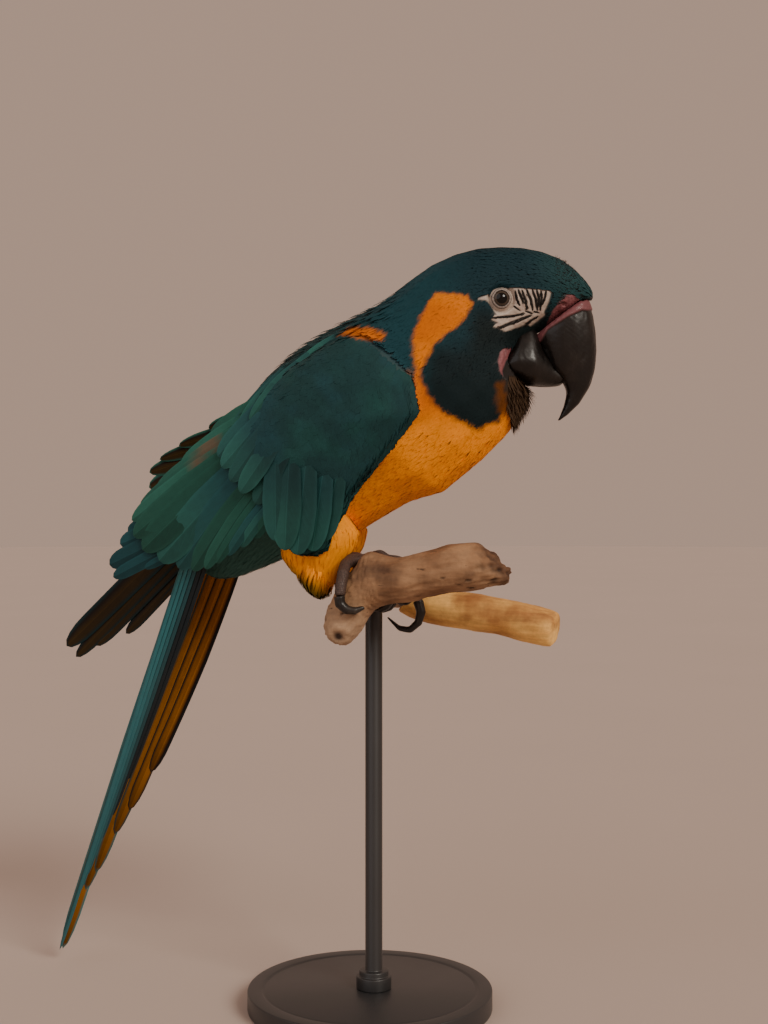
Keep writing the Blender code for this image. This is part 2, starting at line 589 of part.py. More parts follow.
def build():
    clear_scene()
    bird = make_collection("blue_throated_macaw")
    cutters = make_collection("cutters")

    teal = make_material("teal feathers", (0.012, 0.085, 0.11), 0.55)
    gold = make_material("gold feathers", (0.85, 0.36, 0.015), 0.6)
    flight = make_material("flight feathers", (0.012, 0.09, 0.10), 0.5)
    tail_colour = make_material("tail feathers", (0.02, 0.12, 0.14), 0.5)
    bill_colour = make_material("bill horn", (0.012, 0.011, 0.011), 0.28)
    eye_colour = make_material("eye", (0.03, 0.025, 0.02), 0.08)
    foot_colour = make_material("foot scales", (0.045, 0.04, 0.04), 0.6)
    claw_colour = make_material("claw horn", (0.02, 0.018, 0.018), 0.35)
    wood = make_material("driftwood", (0.33, 0.24, 0.17), 0.75)
    branch_wood = make_material("tan driftwood", (0.42, 0.25, 0.12), 0.7)
    stand_colour = make_material("stand paint", (0.03, 0.03, 0.032), 0.45)

    # Body and head.
    add_body_piece("trunk", TRUNK_SPAN, bird, gold)
    neck = add_body_piece("neck", NECK_SPAN, bird, teal, start_gap=True)
    head = add_body_piece("head", HEAD_SPAN, bird, teal, start_gap=True)
    trunk_cutter = as_cutter(add_body_piece("trunk cutter", WING_BED, cutters, grow=BODY_GAP))
    add_bill("bill_upper", UPPER_BILL, bird, bill_colour)
    upper_cutter = as_cutter(add_bill("upper bill cutter", UPPER_BILL, cutters, grow=EDGE_GAP))
    lower_bill = add_bill("bill_lower", LOWER_BILL, bird, bill_colour)
    lower_cutter = as_cutter(add_bill("lower bill cutter", LOWER_BILL, cutters, grow=EDGE_GAP))
    combine(lower_bill, upper_cutter, "DIFFERENCE")
    combine(neck, lower_cutter, "DIFFERENCE")
    combine(head, upper_cutter, "DIFFERENCE")
    combine(head, lower_cutter, "DIFFERENCE")
    for side, word in ((-1, "right"), (1, "left")):
        add_eye("eye_" + word, side, EYE_RADIUS, bird, eye_colour)
        socket = as_cutter(add_eye("socket cutter " + word, side, EYE_RADIUS + GAP, cutters))
        combine(head, socket, "DIFFERENCE")

    # Wings.
    covert_cutters = {}
    for side, word in ((-1, "right"), (1, "left")):
        swing = WING_SWING[word]
        coverts = add_coverts("wing_%s_coverts" % word, side, swing, bird, teal)
        combine(coverts, trunk_cutter, "DIFFERENCE")
        covert_cutter = as_cutter(add_coverts("covert cutter " + word, side, swing, cutters,
                                              grow=EDGE_GAP))
        covert_cutters[word] = covert_cutter
        roots = fan_points(SECONDARY_ROOTS, SECONDARY_COUNT, side, swing)
        tips = fan_points(SECONDARY_TIPS, SECONDARY_COUNT, side, swing)
        secondaries = add_fan("wing_%s_secondaries" % word, roots, tips, bird, flight,
                              3.4 * MM, 1.4 * MM, 3 * MM, 3, side)
        combine(secondaries, trunk_cutter, "DIFFERENCE")
        combine(secondaries, covert_cutter, "DIFFERENCE")
        roots = fan_points(PRIMARY_ROOTS, PRIMARY_COUNT[word], side, swing)
        tips = fan_points(PRIMARY_TIPS[word], PRIMARY_COUNT[word], side, swing)
        primaries = add_fan("wing_%s_primaries" % word, roots, tips, bird, flight,
                            2.4 * MM, 1.2 * MM, 0.0, 3, side)
        combine(primaries, trunk_cutter, "DIFFERENCE")

    # Tail.
    for side, word in ((-1, "right"), (1, "left")):
        half = add_tail_half("tail_" + word, side, bird, tail_colour)
        combine(half, trunk_cutter, "DIFFERENCE")

    # Driftwood.
    log = add_limb("perch_log", LIMB_LINE, bird, wood)
    combine(log, as_cutter(add_limb("cross log", LOG_LINE, cutters)), "UNION")
    limb_cutter = as_cutter(add_limb("limb cutter", LIMB_LINE, cutters, grow=GAP))
    log_cutter = as_cutter(add_limb("log cutter", LOG_LINE, cutters, grow=GAP))
    branch = add_limb("perch_branch", BRANCH_LINE, bird, branch_wood)
    combine(branch, log_cutter, "DIFFERENCE")
    combine(branch, limb_cutter, "DIFFERENCE")

    # Legs.
    for side, word in ((-1, "right"), (1, "left")):
        thigh = add_thigh("thigh_" + word, side, bird, gold)
        combine(thigh, trunk_cutter, "DIFFERENCE")
        combine(thigh, covert_cutters[word], "DIFFERENCE")
        combine(thigh, log_cutter, "DIFFERENCE")
        combine(thigh, limb_cutter, "DIFFERENCE")
        thigh_cutter = as_cutter(add_thigh("thigh cutter " + word, side, cutters, grow=GAP))
        shank = [Vector((x, side * y, z)) * MM for x, y, z, _ in SHANK_LINE]
        foot = round_tube("foot_" + word, shank, [row[3] * MM for row in SHANK_LINE], TOE_SIDES, bird,
                          foot_colour)
        for label in TOES:
            toe_points, toe_radii, claw_points, claw_radii = toe_lines(word, side, label)
            toe = round_tube("toe %s %s" % (word, label), toe_points, toe_radii, TOE_SIDES, cutters)
            combine(foot, as_cutter(toe), "UNION")
            toe_cutter = as_cutter(round_tube("toe cutter %s %s" % (word, label), toe_points, toe_radii,
                                              TOE_SIDES, cutters, grow=GAP))
            claw = round_tube("claw_%s_%s" % (word, label), claw_points, claw_radii, TOE_SIDES, bird,
                              claw_colour)
            combine(claw, toe_cutter, "DIFFERENCE")
            combine(claw, log_cutter, "DIFFERENCE")
            combine(claw, limb_cutter, "DIFFERENCE")
        combine(foot, log_cutter, "DIFFERENCE")
        combine(foot, limb_cutter, "DIFFERENCE")
        combine(foot, thigh_cutter, "DIFFERENCE")

    # Stand.
    bpy.ops.mesh.primitive_cylinder_add(vertices=48, radius=BASE_RADIUS, depth=BASE_THICKNESS,
                                        location=(0, 0, BASE_THICKNESS / 2))
    base = bpy.context.object
    base.name = "stand_base"
    move_to(base, bird)
    base.data.materials.append(stand_colour)
    bevel = base.modifiers.new("Rounded rim", "BEVEL")
    bevel.width = BASE_BEVEL
    bevel.segments = 1
    bevel.limit_method = "ANGLE"
    axis_x = PERCH_AXIS[0] * MM
    rod_bottom = BASE_THICKNESS + GAP
    bpy.ops.mesh.primitive_cylinder_add(vertices=16, radius=ROD_RADIUS, depth=ROD_TOP - rod_bottom,
                                        location=(axis_x, 0, (ROD_TOP + rod_bottom) / 2))
    rod = bpy.context.object
    rod.name = "stand_rod"
    move_to(rod, bird)
    rod.data.materials.append(stand_colour)
    combine(rod, log_cutter, "DIFFERENCE")
    merge_slivers(bird.objects)


build()
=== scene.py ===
"""Looks of the blue-throated macaw on its perch: skin, feathers, eyes, bill, driftwood and stand.

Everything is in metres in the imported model's frame: +Z up, +X towards the bird's front, -Y its
right side.  Head markings are given as (x, z) in the head's own middle plane, which is turned to
the bird's left about a vertical line, and hold for both sides.
"""
import math

import bmesh
import bpy
import numpy as np
from bpy.props import FloatProperty, FloatVectorProperty, IntProperty, PointerProperty
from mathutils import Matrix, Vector
from mathutils.bvhtree import BVHTree


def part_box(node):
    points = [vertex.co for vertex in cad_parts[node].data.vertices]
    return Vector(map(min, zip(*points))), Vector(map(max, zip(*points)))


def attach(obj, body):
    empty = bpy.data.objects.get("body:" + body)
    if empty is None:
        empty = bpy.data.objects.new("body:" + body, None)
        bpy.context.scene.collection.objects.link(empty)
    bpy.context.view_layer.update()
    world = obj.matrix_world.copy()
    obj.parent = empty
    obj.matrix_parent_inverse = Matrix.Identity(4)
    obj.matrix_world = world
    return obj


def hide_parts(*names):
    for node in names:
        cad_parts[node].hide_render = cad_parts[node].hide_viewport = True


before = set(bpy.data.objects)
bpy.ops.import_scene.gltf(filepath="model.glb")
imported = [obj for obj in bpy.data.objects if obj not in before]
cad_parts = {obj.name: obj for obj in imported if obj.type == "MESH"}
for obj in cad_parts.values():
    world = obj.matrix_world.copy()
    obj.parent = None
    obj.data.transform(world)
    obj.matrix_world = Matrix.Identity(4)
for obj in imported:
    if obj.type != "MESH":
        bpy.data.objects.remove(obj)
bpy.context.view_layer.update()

bl_info = {
    "name": "Perched macaw",
    "version": (1, 0, 0),
    "blender": (4, 5, 0),
    "location": "3D View > Sidebar > Macaw",
    "description": "Skin, feathers, eyes, bill, feet, driftwood and display stand of a perched macaw",
    "category": "Object",
}

MM = 0.001
SIDES = (("right", -1), ("left", 1))

# ---- the pose, shared by markings, lie of the feathers and eyes ----
HEAD_YAW = math.radians(15)
YAW_PIVOT = np.array((0.060, 0.0))
YAW_START = np.array((0.015, 0.430))         # the turn grows from here ...
YAW_LINE = np.array((0.768, 0.640))          # ... along this direction in the side view
YAW_LENGTH = 0.1015

# Middle line of the body from the bill's root to the tail's root, as (x, z) in the head's plane.
BODY_LINE = [(0.152, 0.508), (0.128, 0.512), (0.100, 0.508), (0.078, 0.490), (0.056, 0.466),
             (0.026, 0.440), (-0.010, 0.420), (-0.050, 0.395), (-0.090, 0.360), (-0.128, 0.325),
             (-0.150, 0.295)]


def smooth_step(low, high, value):
    t = np.clip((value - low) / (high - low), 0.0, 1.0)
    return t * t * (3 - 2 * t)


def mix(a, b, t):
    return a + (b - a) * np.asarray(t)[..., None]


def turn_share(points):
    """How much of the head's turn each point has, judged in its own place."""
    lengthwise = (points[:, (0, 2)] - YAW_START) @ YAW_LINE
    return smooth_step(0.0, YAW_LENGTH, lengthwise)


def straighten(points):
    """Points with the head's turn taken out, so that Y = 0 is the middle plane everywhere."""
    points = np.asarray(points, float).reshape(-1, 3)
    angle = -HEAD_YAW * turn_share(points)
    flat = points[:, :2] - YAW_PIVOT
    cos, sin = np.cos(angle), np.sin(angle)
    out = points.copy()
    out[:, 0] = flat[:, 0] * cos - flat[:, 1] * sin + YAW_PIVOT[0]
    out[:, 1] = flat[:, 0] * sin + flat[:, 1] * cos + YAW_PIVOT[1]
    return out


def head_share(points, start=0.020, full=0.085):
    """0 on body and breast, rising to 1 on the head between two places along X."""
    straight = straighten(points)
    return smooth_step(start, full, straight[:, 0]) * smooth_step(0.415, 0.450, straight[:, 2])


def turn_back(directions, points):
    """Directions of the straight bird, turned as the bird is turned at those points."""
    angle = HEAD_YAW * turn_share(points)
    cos, sin = np.cos(angle), np.sin(angle)
    out = directions.copy()
    out[:, 0] = directions[:, 0] * cos - directions[:, 1] * sin
    out[:, 1] = directions[:, 0] * sin + directions[:, 1] * cos
    return out


def segment_gap(x, z, start, end):
    """Distance of each point (x, z) from the line between two places, and its share along it."""
    (ax, az), (bx, bz) = start, end
    dx, dz = bx - ax, bz - az
    t = np.clip(((x - ax) * dx + (z - az) * dz) / (dx * dx + dz * dz), 0, 1)
    return np.hypot(x - ax - t * dx, z - az - t * dz), t


def run_along(line):
    """Distance of each point of a line from its start, measured along the line."""
    return np.concatenate(([0], np.cumsum(np.linalg.norm(np.diff(line, axis=0), axis=1))))


def distance_inside(outline, x, z):
    """Distance from the outline of each point (x, z), positive inside it."""
    outline = np.asarray(outline, float) * MM
    least = np.full(x.shape, np.inf)
    inside = np.zeros(x.shape, bool)
    for (ax, az), (bx, bz) in zip(outline, np.roll(outline, -1, axis=0)):
        least = np.minimum(least, segment_gap(x, z, (ax, az), (bx, bz))[0])
        crosses = (az > z) != (bz > z)
        with np.errstate(divide="ignore", invalid="ignore"):
            crossing = ax + (z - az) / (bz - az) * (bx - ax)
        inside ^= crosses & (x < crossing)
    return np.where(inside, least, -least)


def wobble(points, size, seed):
    """Smooth noise about -1 to 1 made of a few sine waves, with features of about the given size."""
    rng = np.random.default_rng(seed)
    total = np.zeros(len(points))
    for k in range(6):
        wave = rng.normal(size=3)
        wave *= (0.7 + 0.25 * k) / np.linalg.norm(wave)
        phase = rng.uniform(0, 2 * math.pi)
        total += np.sin(points @ wave * (2 * math.pi / size) + phase) / (1 + 0.4 * k)
    return total / 2.4


# ---- plumage markings ----
def tone(red, green, blue):
    return np.array((red, green, blue))


CROWN = tone(0.0047, 0.0247, 0.0335)
FOREHEAD = tone(0.0125, 0.0500, 0.0540)
NAPE = tone(0.0077, 0.0462, 0.0590)
CHEEK = tone(0.0034, 0.0092, 0.0101)
BIB = tone(0.0041, 0.0124, 0.0149)
CHIN = tone(0.0400, 0.0216, 0.0104)
BAND = tone(0.56, 0.132, 0)
BREAST = tone(0.92, 0.3, 0)
BREAST_SHADE = tone(0.8, 0.235, 0)
BELLY = tone(0.95, 0.33, 0)
OLIVE = tone(0.14, 0.095, 0.008)
STREAK = tone(0.120, 0.034, 0.001)
VENT = tone(0.034, 0.105, 0.092)
MANTLE = tone(0.0085, 0.0350, 0.0370)
SHIELD = tone(0.0096, 0.0416, 0.0440)
SHIELD_LIGHT = tone(0.0132, 0.0720, 0.0634)
SHIELD_BLUE = tone(0.014, 0.060, 0.075)
FACE_SKIN = tone(0.46, 0.38, 0.32)
FACE_BLUSH = tone(0.36, 0.24, 0.21)
LID_SKIN = tone(0.27, 0.22, 0.19)
CERE = tone(0.2, 0.062, 0.07)
FOOT = tone(0.060, 0.034, 0.026)
FACE_LINE = tone(0.010, 0.008, 0.007)
HORN = tone(0.0050, 0.0036, 0.0030)
PALE_UNDERSIDE = tone(0.44, 0.29, 0.175)           # paler underside of the driftwood

# Outlines on the head as (x, z) in mm.
FACE_OUTLINE = [(80, 501), (88, 504), (93, 508.5), (98, 509.5), (129, 508.5), (132, 507),
                (130, 500), (127, 494), (127.5, 492), (117.5, 484.5), (115.5, 486), (101, 480),
                (92, 483), (96, 485.5), (91.5, 487.5), (91.5, 490), (95, 491), (88.5, 500.5),
                (84, 501)]
SPOT_OUTLINE = [(112, 476.5), (115, 480), (117, 480.5), (116, 477), (113, 476)]
CERE_OUTLINE = [(137, 500), (143, 506), (147.5, 506), (153.5, 501.5), (158, 505), (163, 504),
                (161, 497), (157, 495.5), (153, 495.5), (143, 490.5), (129.5, 482), (124.5, 474),
                (121, 476.5), (123, 481), (128, 485.5), (133, 495)]
GAPE_OUTLINE = [(97.5, 465.5), (101, 469.5), (115, 477), (113.5, 474), (107.5, 470),
                (101.5, 459.5), (99.5, 452.5), (100, 449), (98, 452), (96.5, 458.5)]
MANDIBLE_ROOT = [(115, 475.5), (110, 472), (106, 467), (102, 459.5), (99.5, 452.5), (100.5, 448.5),
                 (104, 445.5), (126, 440), (126, 473)]
BAND_OUTLINE = [(53, 506.5), (74.5, 504.5), (78.5, 498.5), (72.5, 485), (59, 473.5), (54, 462),
                (50, 452), (54.5, 438.5), (63, 426), (74, 418.5), (86, 413), (98.5, 418),
                (103, 430), (130, 420), (120, 370), (50, 340), (30, 385), (41.5, 420), (47.5, 435),
                (48, 448), (46, 460), (43, 473), (44, 485), (48.5, 495)]
CHIN_OUTLINE = [(103, 450), (140, 452), (125, 425), (108, 418), (103.5, 428)]
STREAK_OUTLINE = [(95.5, 444), (100, 446), (104.5, 434), (103.5, 420), (98.5, 424), (96.5, 434)]
SHOULDER_PATCH = [(-10, 481.5), (-1, 485.5), (12, 484.5), (24, 478.5), (25, 473.5), (8, 476)]


def edge(outline, x, z, softness):
    return smooth_step(-softness, softness, distance_inside(outline, x, z))


def body_tone(points):
    """Colour of skin and body feathers at each point, in linear red, green and blue."""
    straight = straighten(points)
    x, _, z = straight.T
    ragged = 1.2 * MM * wobble(points, 0.006, 11)
    x, z = x + ragged, z + 1.2 * MM * wobble(points, 0.007, 12)
    # Teal above: crown, nape and mantle, greener on the forehead.
    colour = mix(np.tile(CROWN, (len(x), 1)), NAPE, smooth_step(0.085, 0.035, x) * 0.9)
    colour = mix(colour, FOREHEAD, smooth_step(0.112, 0.150, x + 0.25 * (z - 0.52)))
    colour = mix(colour, MANTLE, smooth_step(0.030, -0.020, x))
    # Darker below the eye, then the blue bib of the throat.
    cheek = smooth_step(0.503, 0.484, z) * smooth_step(0.072, 0.086, x)
    colour = mix(colour, CHEEK, cheek)
    bib = smooth_step(0.478, 0.458, z) * smooth_step(0.046, 0.062, x)
    colour = mix(colour, BIB, bib)
    # Orange below: neck band, breast, belly and thighs.
    warm = smooth_step(-0.004, 0.005, 0.452 + 0.62 * (x - 0.045) - z) * smooth_step(0.047, 0.041, x)
    warm = np.maximum(warm, edge(BAND_OUTLINE, x, z, 1.8 * MM))
    gold = mix(np.tile(BAND, (len(x), 1)), BREAST, smooth_step(0.432, 0.408, z))
    gold = mix(gold, BREAST_SHADE, 0.45 * smooth_step(-0.2, 1.0, wobble(points, 0.045, 13)))
    gold = mix(gold, BELLY, smooth_step(0.385, 0.345, z))
    colour = mix(colour, gold, warm)
    colour = mix(colour, OLIVE, warm * smooth_step(0.314, 0.300, z + 0.60 * (x + 0.030)))
    colour = mix(colour, VENT, smooth_step(-0.050, -0.064, x) * smooth_step(0.400, 0.380, z))
    colour = mix(colour, BAND, 0.9 * edge(SHOULDER_PATCH, x, z, 1.4 * MM))
    colour = mix(colour, STREAK, 0.85 * edge(STREAK_OUTLINE, x, z, 2.2 * MM))
    colour = mix(colour, CHIN, edge(CHIN_OUTLINE, x, z, 2.2 * MM))
    return colour


def face_masks(points):
    """Shares of bare white skin and of rosy skin at each point."""
    x, _, z = straighten(points).T
    face = np.maximum(edge(FACE_OUTLINE, x, z, 0.6 * MM), edge(SPOT_OUTLINE, x, z, 0.6 * MM))
    rosy = np.maximum(edge(CERE_OUTLINE, x, z, 0.7 * MM), edge(GAPE_OUTLINE, x, z, 0.6 * MM))
    return face * (1 - rosy), rosy


def bare_share(points):
    """1 on all the bare skin of the face, white and rosy."""
    return np.maximum(*face_masks(points))


def horn_share(points):
    """1 where the lower bill's horn runs on over the skin at its root."""
    x, _, z = straighten(points).T
    return edge(MANDIBLE_ROOT, x, z, 0.5 * MM) * (1 - edge(GAPE_OUTLINE, x, z, 0.4 * MM))


# ---- shader kit ----
class Wire:
    """A shader socket that can be used in arithmetic; each operation adds one Math node."""

    def __init__(self, tree, socket):
        self.tree = tree
        self.socket = socket

    def _math(self, operation, *values):
        return self.tree.node("ShaderNodeMath", dict(operation=operation), values)

    def __add__(self, other): return self._math("ADD", self, other)
    def __radd__(self, other): return self._math("ADD", other, self)
    def __sub__(self, other): return self._math("SUBTRACT", self, other)
    def __rsub__(self, other): return self._math("SUBTRACT", other, self)
    def __mul__(self, other): return self._math("MULTIPLY", self, other)
    def __rmul__(self, other): return self._math("MULTIPLY", other, self)
    def low(self, other): return self._math("MINIMUM", self, other)
    def high(self, other): return self._math("MAXIMUM", self, other)
    def size(self): return self._math("ABSOLUTE", self)
    def clamp(self): return self._math("ADD", self, 0.0).low(1.0).high(0.0)

    def band(self, low, high):
        """0 below low, 1 above high, smooth between."""
        return self.tree.node("ShaderNodeMapRange", dict(interpolation_type="SMOOTHSTEP"),
                              {"Value": self, "From Min": low, "From Max": high})


class Finish:
    """A material under construction: node() adds any node, and surface() sets the Principled shader."""

    def __init__(self, name):
        self.material = bpy.data.materials.new(name)
        self.material.use_nodes = True
        self.nodes = self.material.node_tree.nodes
        self.links = self.material.node_tree.links
        self.shader = self.nodes["Principled BSDF"]

    def node(self, kind, settings=None, values=None, output=0):
        made = self.nodes.new(kind)
        for key, value in (settings or {}).items():
            setattr(made, key, value)
        pairs = values.items() if isinstance(values, dict) else enumerate(values or ())
        for key, value in pairs:
            self.feed(made.inputs[key], value)
        return Wire(self, made.outputs[output])

    def feed(self, socket, value):
        if isinstance(value, Wire):
            self.links.new(value.socket, socket)
        elif isinstance(value, (tuple, list, np.ndarray)):
            value = tuple(float(v) for v in value)
            if len(socket.default_value) == 4 and len(value) == 3:
                value = (*value, 1.0)
            socket.default_value = value
        else:
            socket.default_value = value

    def place(self):
        return self.node("ShaderNodeTexCoord", output=3)

    def attribute(self, name, colour=False):
        return self.node("ShaderNodeAttribute", dict(attribute_name=name), output=0 if colour else 2)

    def stretch(self, vector, scale, turn=(0, 0, 0)):
        return self.node("ShaderNodeMapping", None,
                         {"Vector": vector, "Scale": scale, "Rotation": turn})

    def noise(self, vector, scale, detail=2.0, rough=0.5):
        return self.node("ShaderNodeTexNoise", None,
                         {"Vector": vector, "Scale": scale, "Detail": detail, "Roughness": rough})

    def cells(self, vector, scale, feature="F1"):
        return self.node("ShaderNodeTexVoronoi", dict(feature=feature),
                         {"Vector": vector, "Scale": scale})

    def blend(self, share, first, second, how="MIX"):
        made = self.nodes.new("ShaderNodeMix")
        made.data_type = "RGBA"
        made.blend_type = how
        for socket, value in ((made.inputs[0], share), (made.inputs[6], first),
                              (made.inputs[7], second)):
            self.feed(socket, value)
        return Wire(self, made.outputs[2])

    def tint(self, colour, strength):
        """Colour made lighter or darker by a number that varies over the surface."""
        grey = self.node("ShaderNodeCombineColor", None, (strength, strength, strength))
        return self.blend(1.0, colour, grey, "MULTIPLY")

    def bump(self, height, strength, distance):
        return self.node("ShaderNodeBump", None,
                         {"Strength": strength, "Distance": distance, "Height": height})

    def surface(self, **values):
        for key, value in values.items():
            self.feed(self.shader.inputs[key.replace("_", " ")], value)
        return self.material


# ---- finishes ----
def vane_finish(name, barbs, gloss, contrast, rim, web=0.0):
    """Feather vanes: colour from their own attribute, a shaft, slanting barbs and darker rims."""
    f = Finish(name)
    base = f.attribute("plumage", colour=True)
    across = f.attribute("across")                      # -1 to 1 from edge to edge
    length = f.attribute("along")                       # 0 at the root, 1 at the tip
    side = across.size()
    slant = f.node("ShaderNodeCombineXYZ", None,
                   (length * barbs - side * barbs * 0.30, across * 1.5, 0.0))
    barb = f.noise(slant, 1.0, 3.0, 0.6)
    soft = f.noise(f.place(), 160.0, 3.0)
    shaft = 1 - side.band(0.015, 0.07)
    edges = side.band(0.70, 1.0) * rim
    shade = (barb - 0.5) * contrast + (soft - 0.5) * contrast * 0.6 + 1.0
    shade = shade - edges + shaft * contrast * 0.5
    shade = shade + ((across + 1.0) * 0.5).band(0.42, 0.58) * web - web * 0.5
    height = barb * 0.5 + shaft * 0.8 + soft * 0.3
    return f.surface(Base_Color=f.tint(base, shade.high(0.1)), Roughness=(0.80 - barb * 0.18 - gloss),
                     Normal=f.bump(height, 0.30, 0.0005),
                     Specular_IOR_Level=0.15, Sheen_Weight=0.02, Sheen_Roughness=0.4)


def skin_finish():
    """Skin: the plumage's own markings, with fine wrinkles on the bare face and scales on the feet."""
    f = Finish("skin")
    base = f.attribute("plumage", colour=True)
    bare = f.attribute("bare")
    scaly = f.attribute("scaly")
    horn = f.attribute("horn")
    fine = f.noise(f.place(), 900.0, 3.0, 0.6)
    folds = f.noise(f.stretch(f.place(), (1.0, 1.0, 2.6)), 420.0, 4.0, 0.6)
    scale = f.cells(f.place(), 620.0, "DISTANCE_TO_EDGE")
    grooves = scale.band(0.0, 0.12)
    plain = 0.62 + fine * 0.45
    wrinkled = 0.72 + folds * 0.5
    scaled = 0.35 + grooves * 0.85
    shade = plain + bare * (wrinkled - plain) + scaly * (scaled - plain)
    height = fine * 0.3 + bare * (folds - 0.5) * 0.6 + scaly * grooves
    return f.surface(Base_Color=f.tint(base, shade),
                     Roughness=(0.72 - scaly * 0.15 - bare * 0.12 - horn * 0.38),
                     Normal=f.bump(height, 0.5, 0.0005))


def horn_finish(name, dark, pale, rough):
    """Bill and claw horn: near black, browner where worn, with fine growth lines and a rosy root."""
    f = Finish(name)
    place = f.place()
    broad = f.noise(place, 60.0, 4.0)
    lines = f.noise(f.stretch(place, (420.0, 420.0, 60.0), (0.0, 0.35, 0.0)), 1.0, 4.0, 0.6)
    grain = f.noise(place, 900.0, 3.0)
    fleshy = f.attribute("fleshy")
    worn = (lines.band(0.52, 0.80) * 0.5 + broad.band(0.50, 0.75) * 0.3).clamp()
    pink = f.tint(CERE, 0.48 + f.noise(place, 500.0, 4.0, 0.6) * 0.66)
    colour = f.blend(fleshy, f.blend(worn, dark, pale), pink)
    return f.surface(Base_Color=colour, Roughness=(rough + grain * 0.12 + worn * 0.12 + fleshy * 0.2),
                     Normal=f.bump(lines * 0.4 + grain * 0.2, 0.15, 0.0003), Specular_IOR_Level=0.35,
                     Coat_Weight=0.10, Coat_Roughness=0.12)


def eye_finish(name, pupil, iris):
    """Eye: black pupil, grey iris with fine radial threads and a dark rim, from the eye's own map."""
    f = Finish(name)
    reach = f.attribute("reach")                # distance from the eye's axis over its radius
    spin = f.attribute("turn")
    threads = f.noise(f.node("ShaderNodeCombineXYZ", None, (spin * 14.0, reach * 3.0, 0.0)), 2.0, 3.0)
    ring = f.blend(threads.band(0.35, 0.7), iris * 0.55, iris)
    inner = f.blend(reach.band(0.42, 0.45), pupil, ring)
    colour = f.blend(reach.band(0.56, 0.62), inner, pupil)
    return f.surface(Base_Color=colour, Roughness=0.06, Coat_Weight=0.3, Coat_Roughness=0.02,
                     Specular_IOR_Level=0.18)


def lid_finish():
    """Eyelids: bare skin in fine folds, dark at the rim, with painted shade in the crease round the
    outer edge.
    """
    f = Finish("eyelid skin")
    place = f.place()
    folds = f.noise(place, 650.0, 4.0, 0.6)
    grain = f.cells(place, 900.0)
    colour = f.blend(f.attribute("shade"), LID_SKIN, FACE_LINE * 2.2)
    return f.surface(Base_Color=f.tint(colour, 0.65 + folds * 0.7), Roughness=0.55,
                     Normal=f.bump(folds * 0.6 + grain * 0.5, 0.5, 0.0004))


def driftwood_finish(name, pale, mid, dark, along, knots):
    """Weathered wood: grain drawn out along the limb, grey bloom, dark cracks and darker hollows."""
    f = Finish(name)
    place = f.place()
    grain = f.noise(f.stretch(place, along), 60.0, 6.0, 0.62)
    fine = f.noise(f.stretch(place, along), 260.0, 4.0, 0.6)
    patch = f.noise(place, 26.0, 4.0)
    speck = f.noise(place, 420.0, 4.0, 0.7)
    stain = f.attribute("stain")
    colour = f.blend(grain.band(0.36, 0.66), dark, mid)
    colour = f.blend(patch.band(0.38, 0.66), colour, pale)
    # Paler towards the log's underside, as its attribute asks.
    colour = f.blend(f.attribute("bleached") * 0.7, colour, PALE_UNDERSIDE)
    colour = f.tint(colour, 0.42 + fine * 0.70 + speck * 0.48)
    colour = f.blend(fine.band(0.66, 0.74) * knots, colour, dark * 0.45)
    # Darker where the attribute asks: the log's knot, pits and chipped end, and patches on the branch.
    colour = f.blend(stain, colour, dark * 0.35)
    height = grain * 0.8 + fine * 0.5 + speck * 0.25 - stain * 0.4
    return f.surface(Base_Color=colour, Roughness=(0.70 + fine * 0.2),
                     Normal=f.bump(height, 0.6, 0.0012))


def paint_finish(colour):
    """Satin paint of the stand, with a faint orange peel and smudges."""
    f = Finish("stand paint")
    place = f.place()
    peel = f.noise(place, 900.0, 2.0)
    smudge = f.noise(place, 18.0, 3.0)
    return f.surface(Base_Color=f.tint(colour, 0.85 + smudge * 0.35), Roughness=(0.34 + smudge * 0.18),
                     Normal=f.bump(peel, 0.08, 0.0004), Coat_Weight=0.15, Coat_Roughness=0.3)


def floor_finish(colour):
    """Matt floor with hardly visible clouds."""
    f = Finish("studio floor")
    cloud = f.noise(f.place(), 2.0, 3.0)
    return f.surface(Base_Color=f.tint(colour, 0.97 + cloud * 0.06), Roughness=0.9)


# ---- mesh tools ----
SMOOTHING_STEP, SWELLING_STEP = 0.55, -0.57  # how far vertices move towards their neighbours' mean
MELTING_STEP = 0.6


def only(*pieces):
    """Selects just these objects and makes the last one active."""
    bpy.ops.object.select_all(action="DESELECT")
    for piece in pieces:
        piece.select_set(True)
    bpy.context.view_layer.objects.active = pieces[-1]


def primitive(add, name, **settings):
    """A new object made by one of Blender's operators for basic shapes."""
    bpy.ops.object.select_all(action="DESELECT")
    add(**settings)
    piece = bpy.context.active_object
    piece.name = name
    return piece


def apply_modifier(piece, kind, **settings):
    only(piece)
    modifier = piece.modifiers.new(kind.title(), kind)
    for key, value in settings.items():
        setattr(modifier, key, value)
    bpy.ops.object.modifier_apply(modifier=modifier.name)


def points_of(piece):
    flat = np.empty(len(piece.data.vertices) * 3, np.float32)
    piece.data.vertices.foreach_get("co", flat)
    return flat.reshape(-1, 3).astype(float)


def move_points(piece, points):
    piece.data.vertices.foreach_set("co", points.astype(np.float32).ravel())
    piece.data.update()


def normals_of(piece):
    flat = np.empty(len(piece.data.vertices) * 3, np.float32)
    piece.data.vertex_normals.foreach_get("vector", flat)
    return flat.reshape(-1, 3).astype(float)


def unit(vectors):
    return vectors / np.maximum(np.linalg.norm(vectors, axis=-1, keepdims=True), 1e-12)


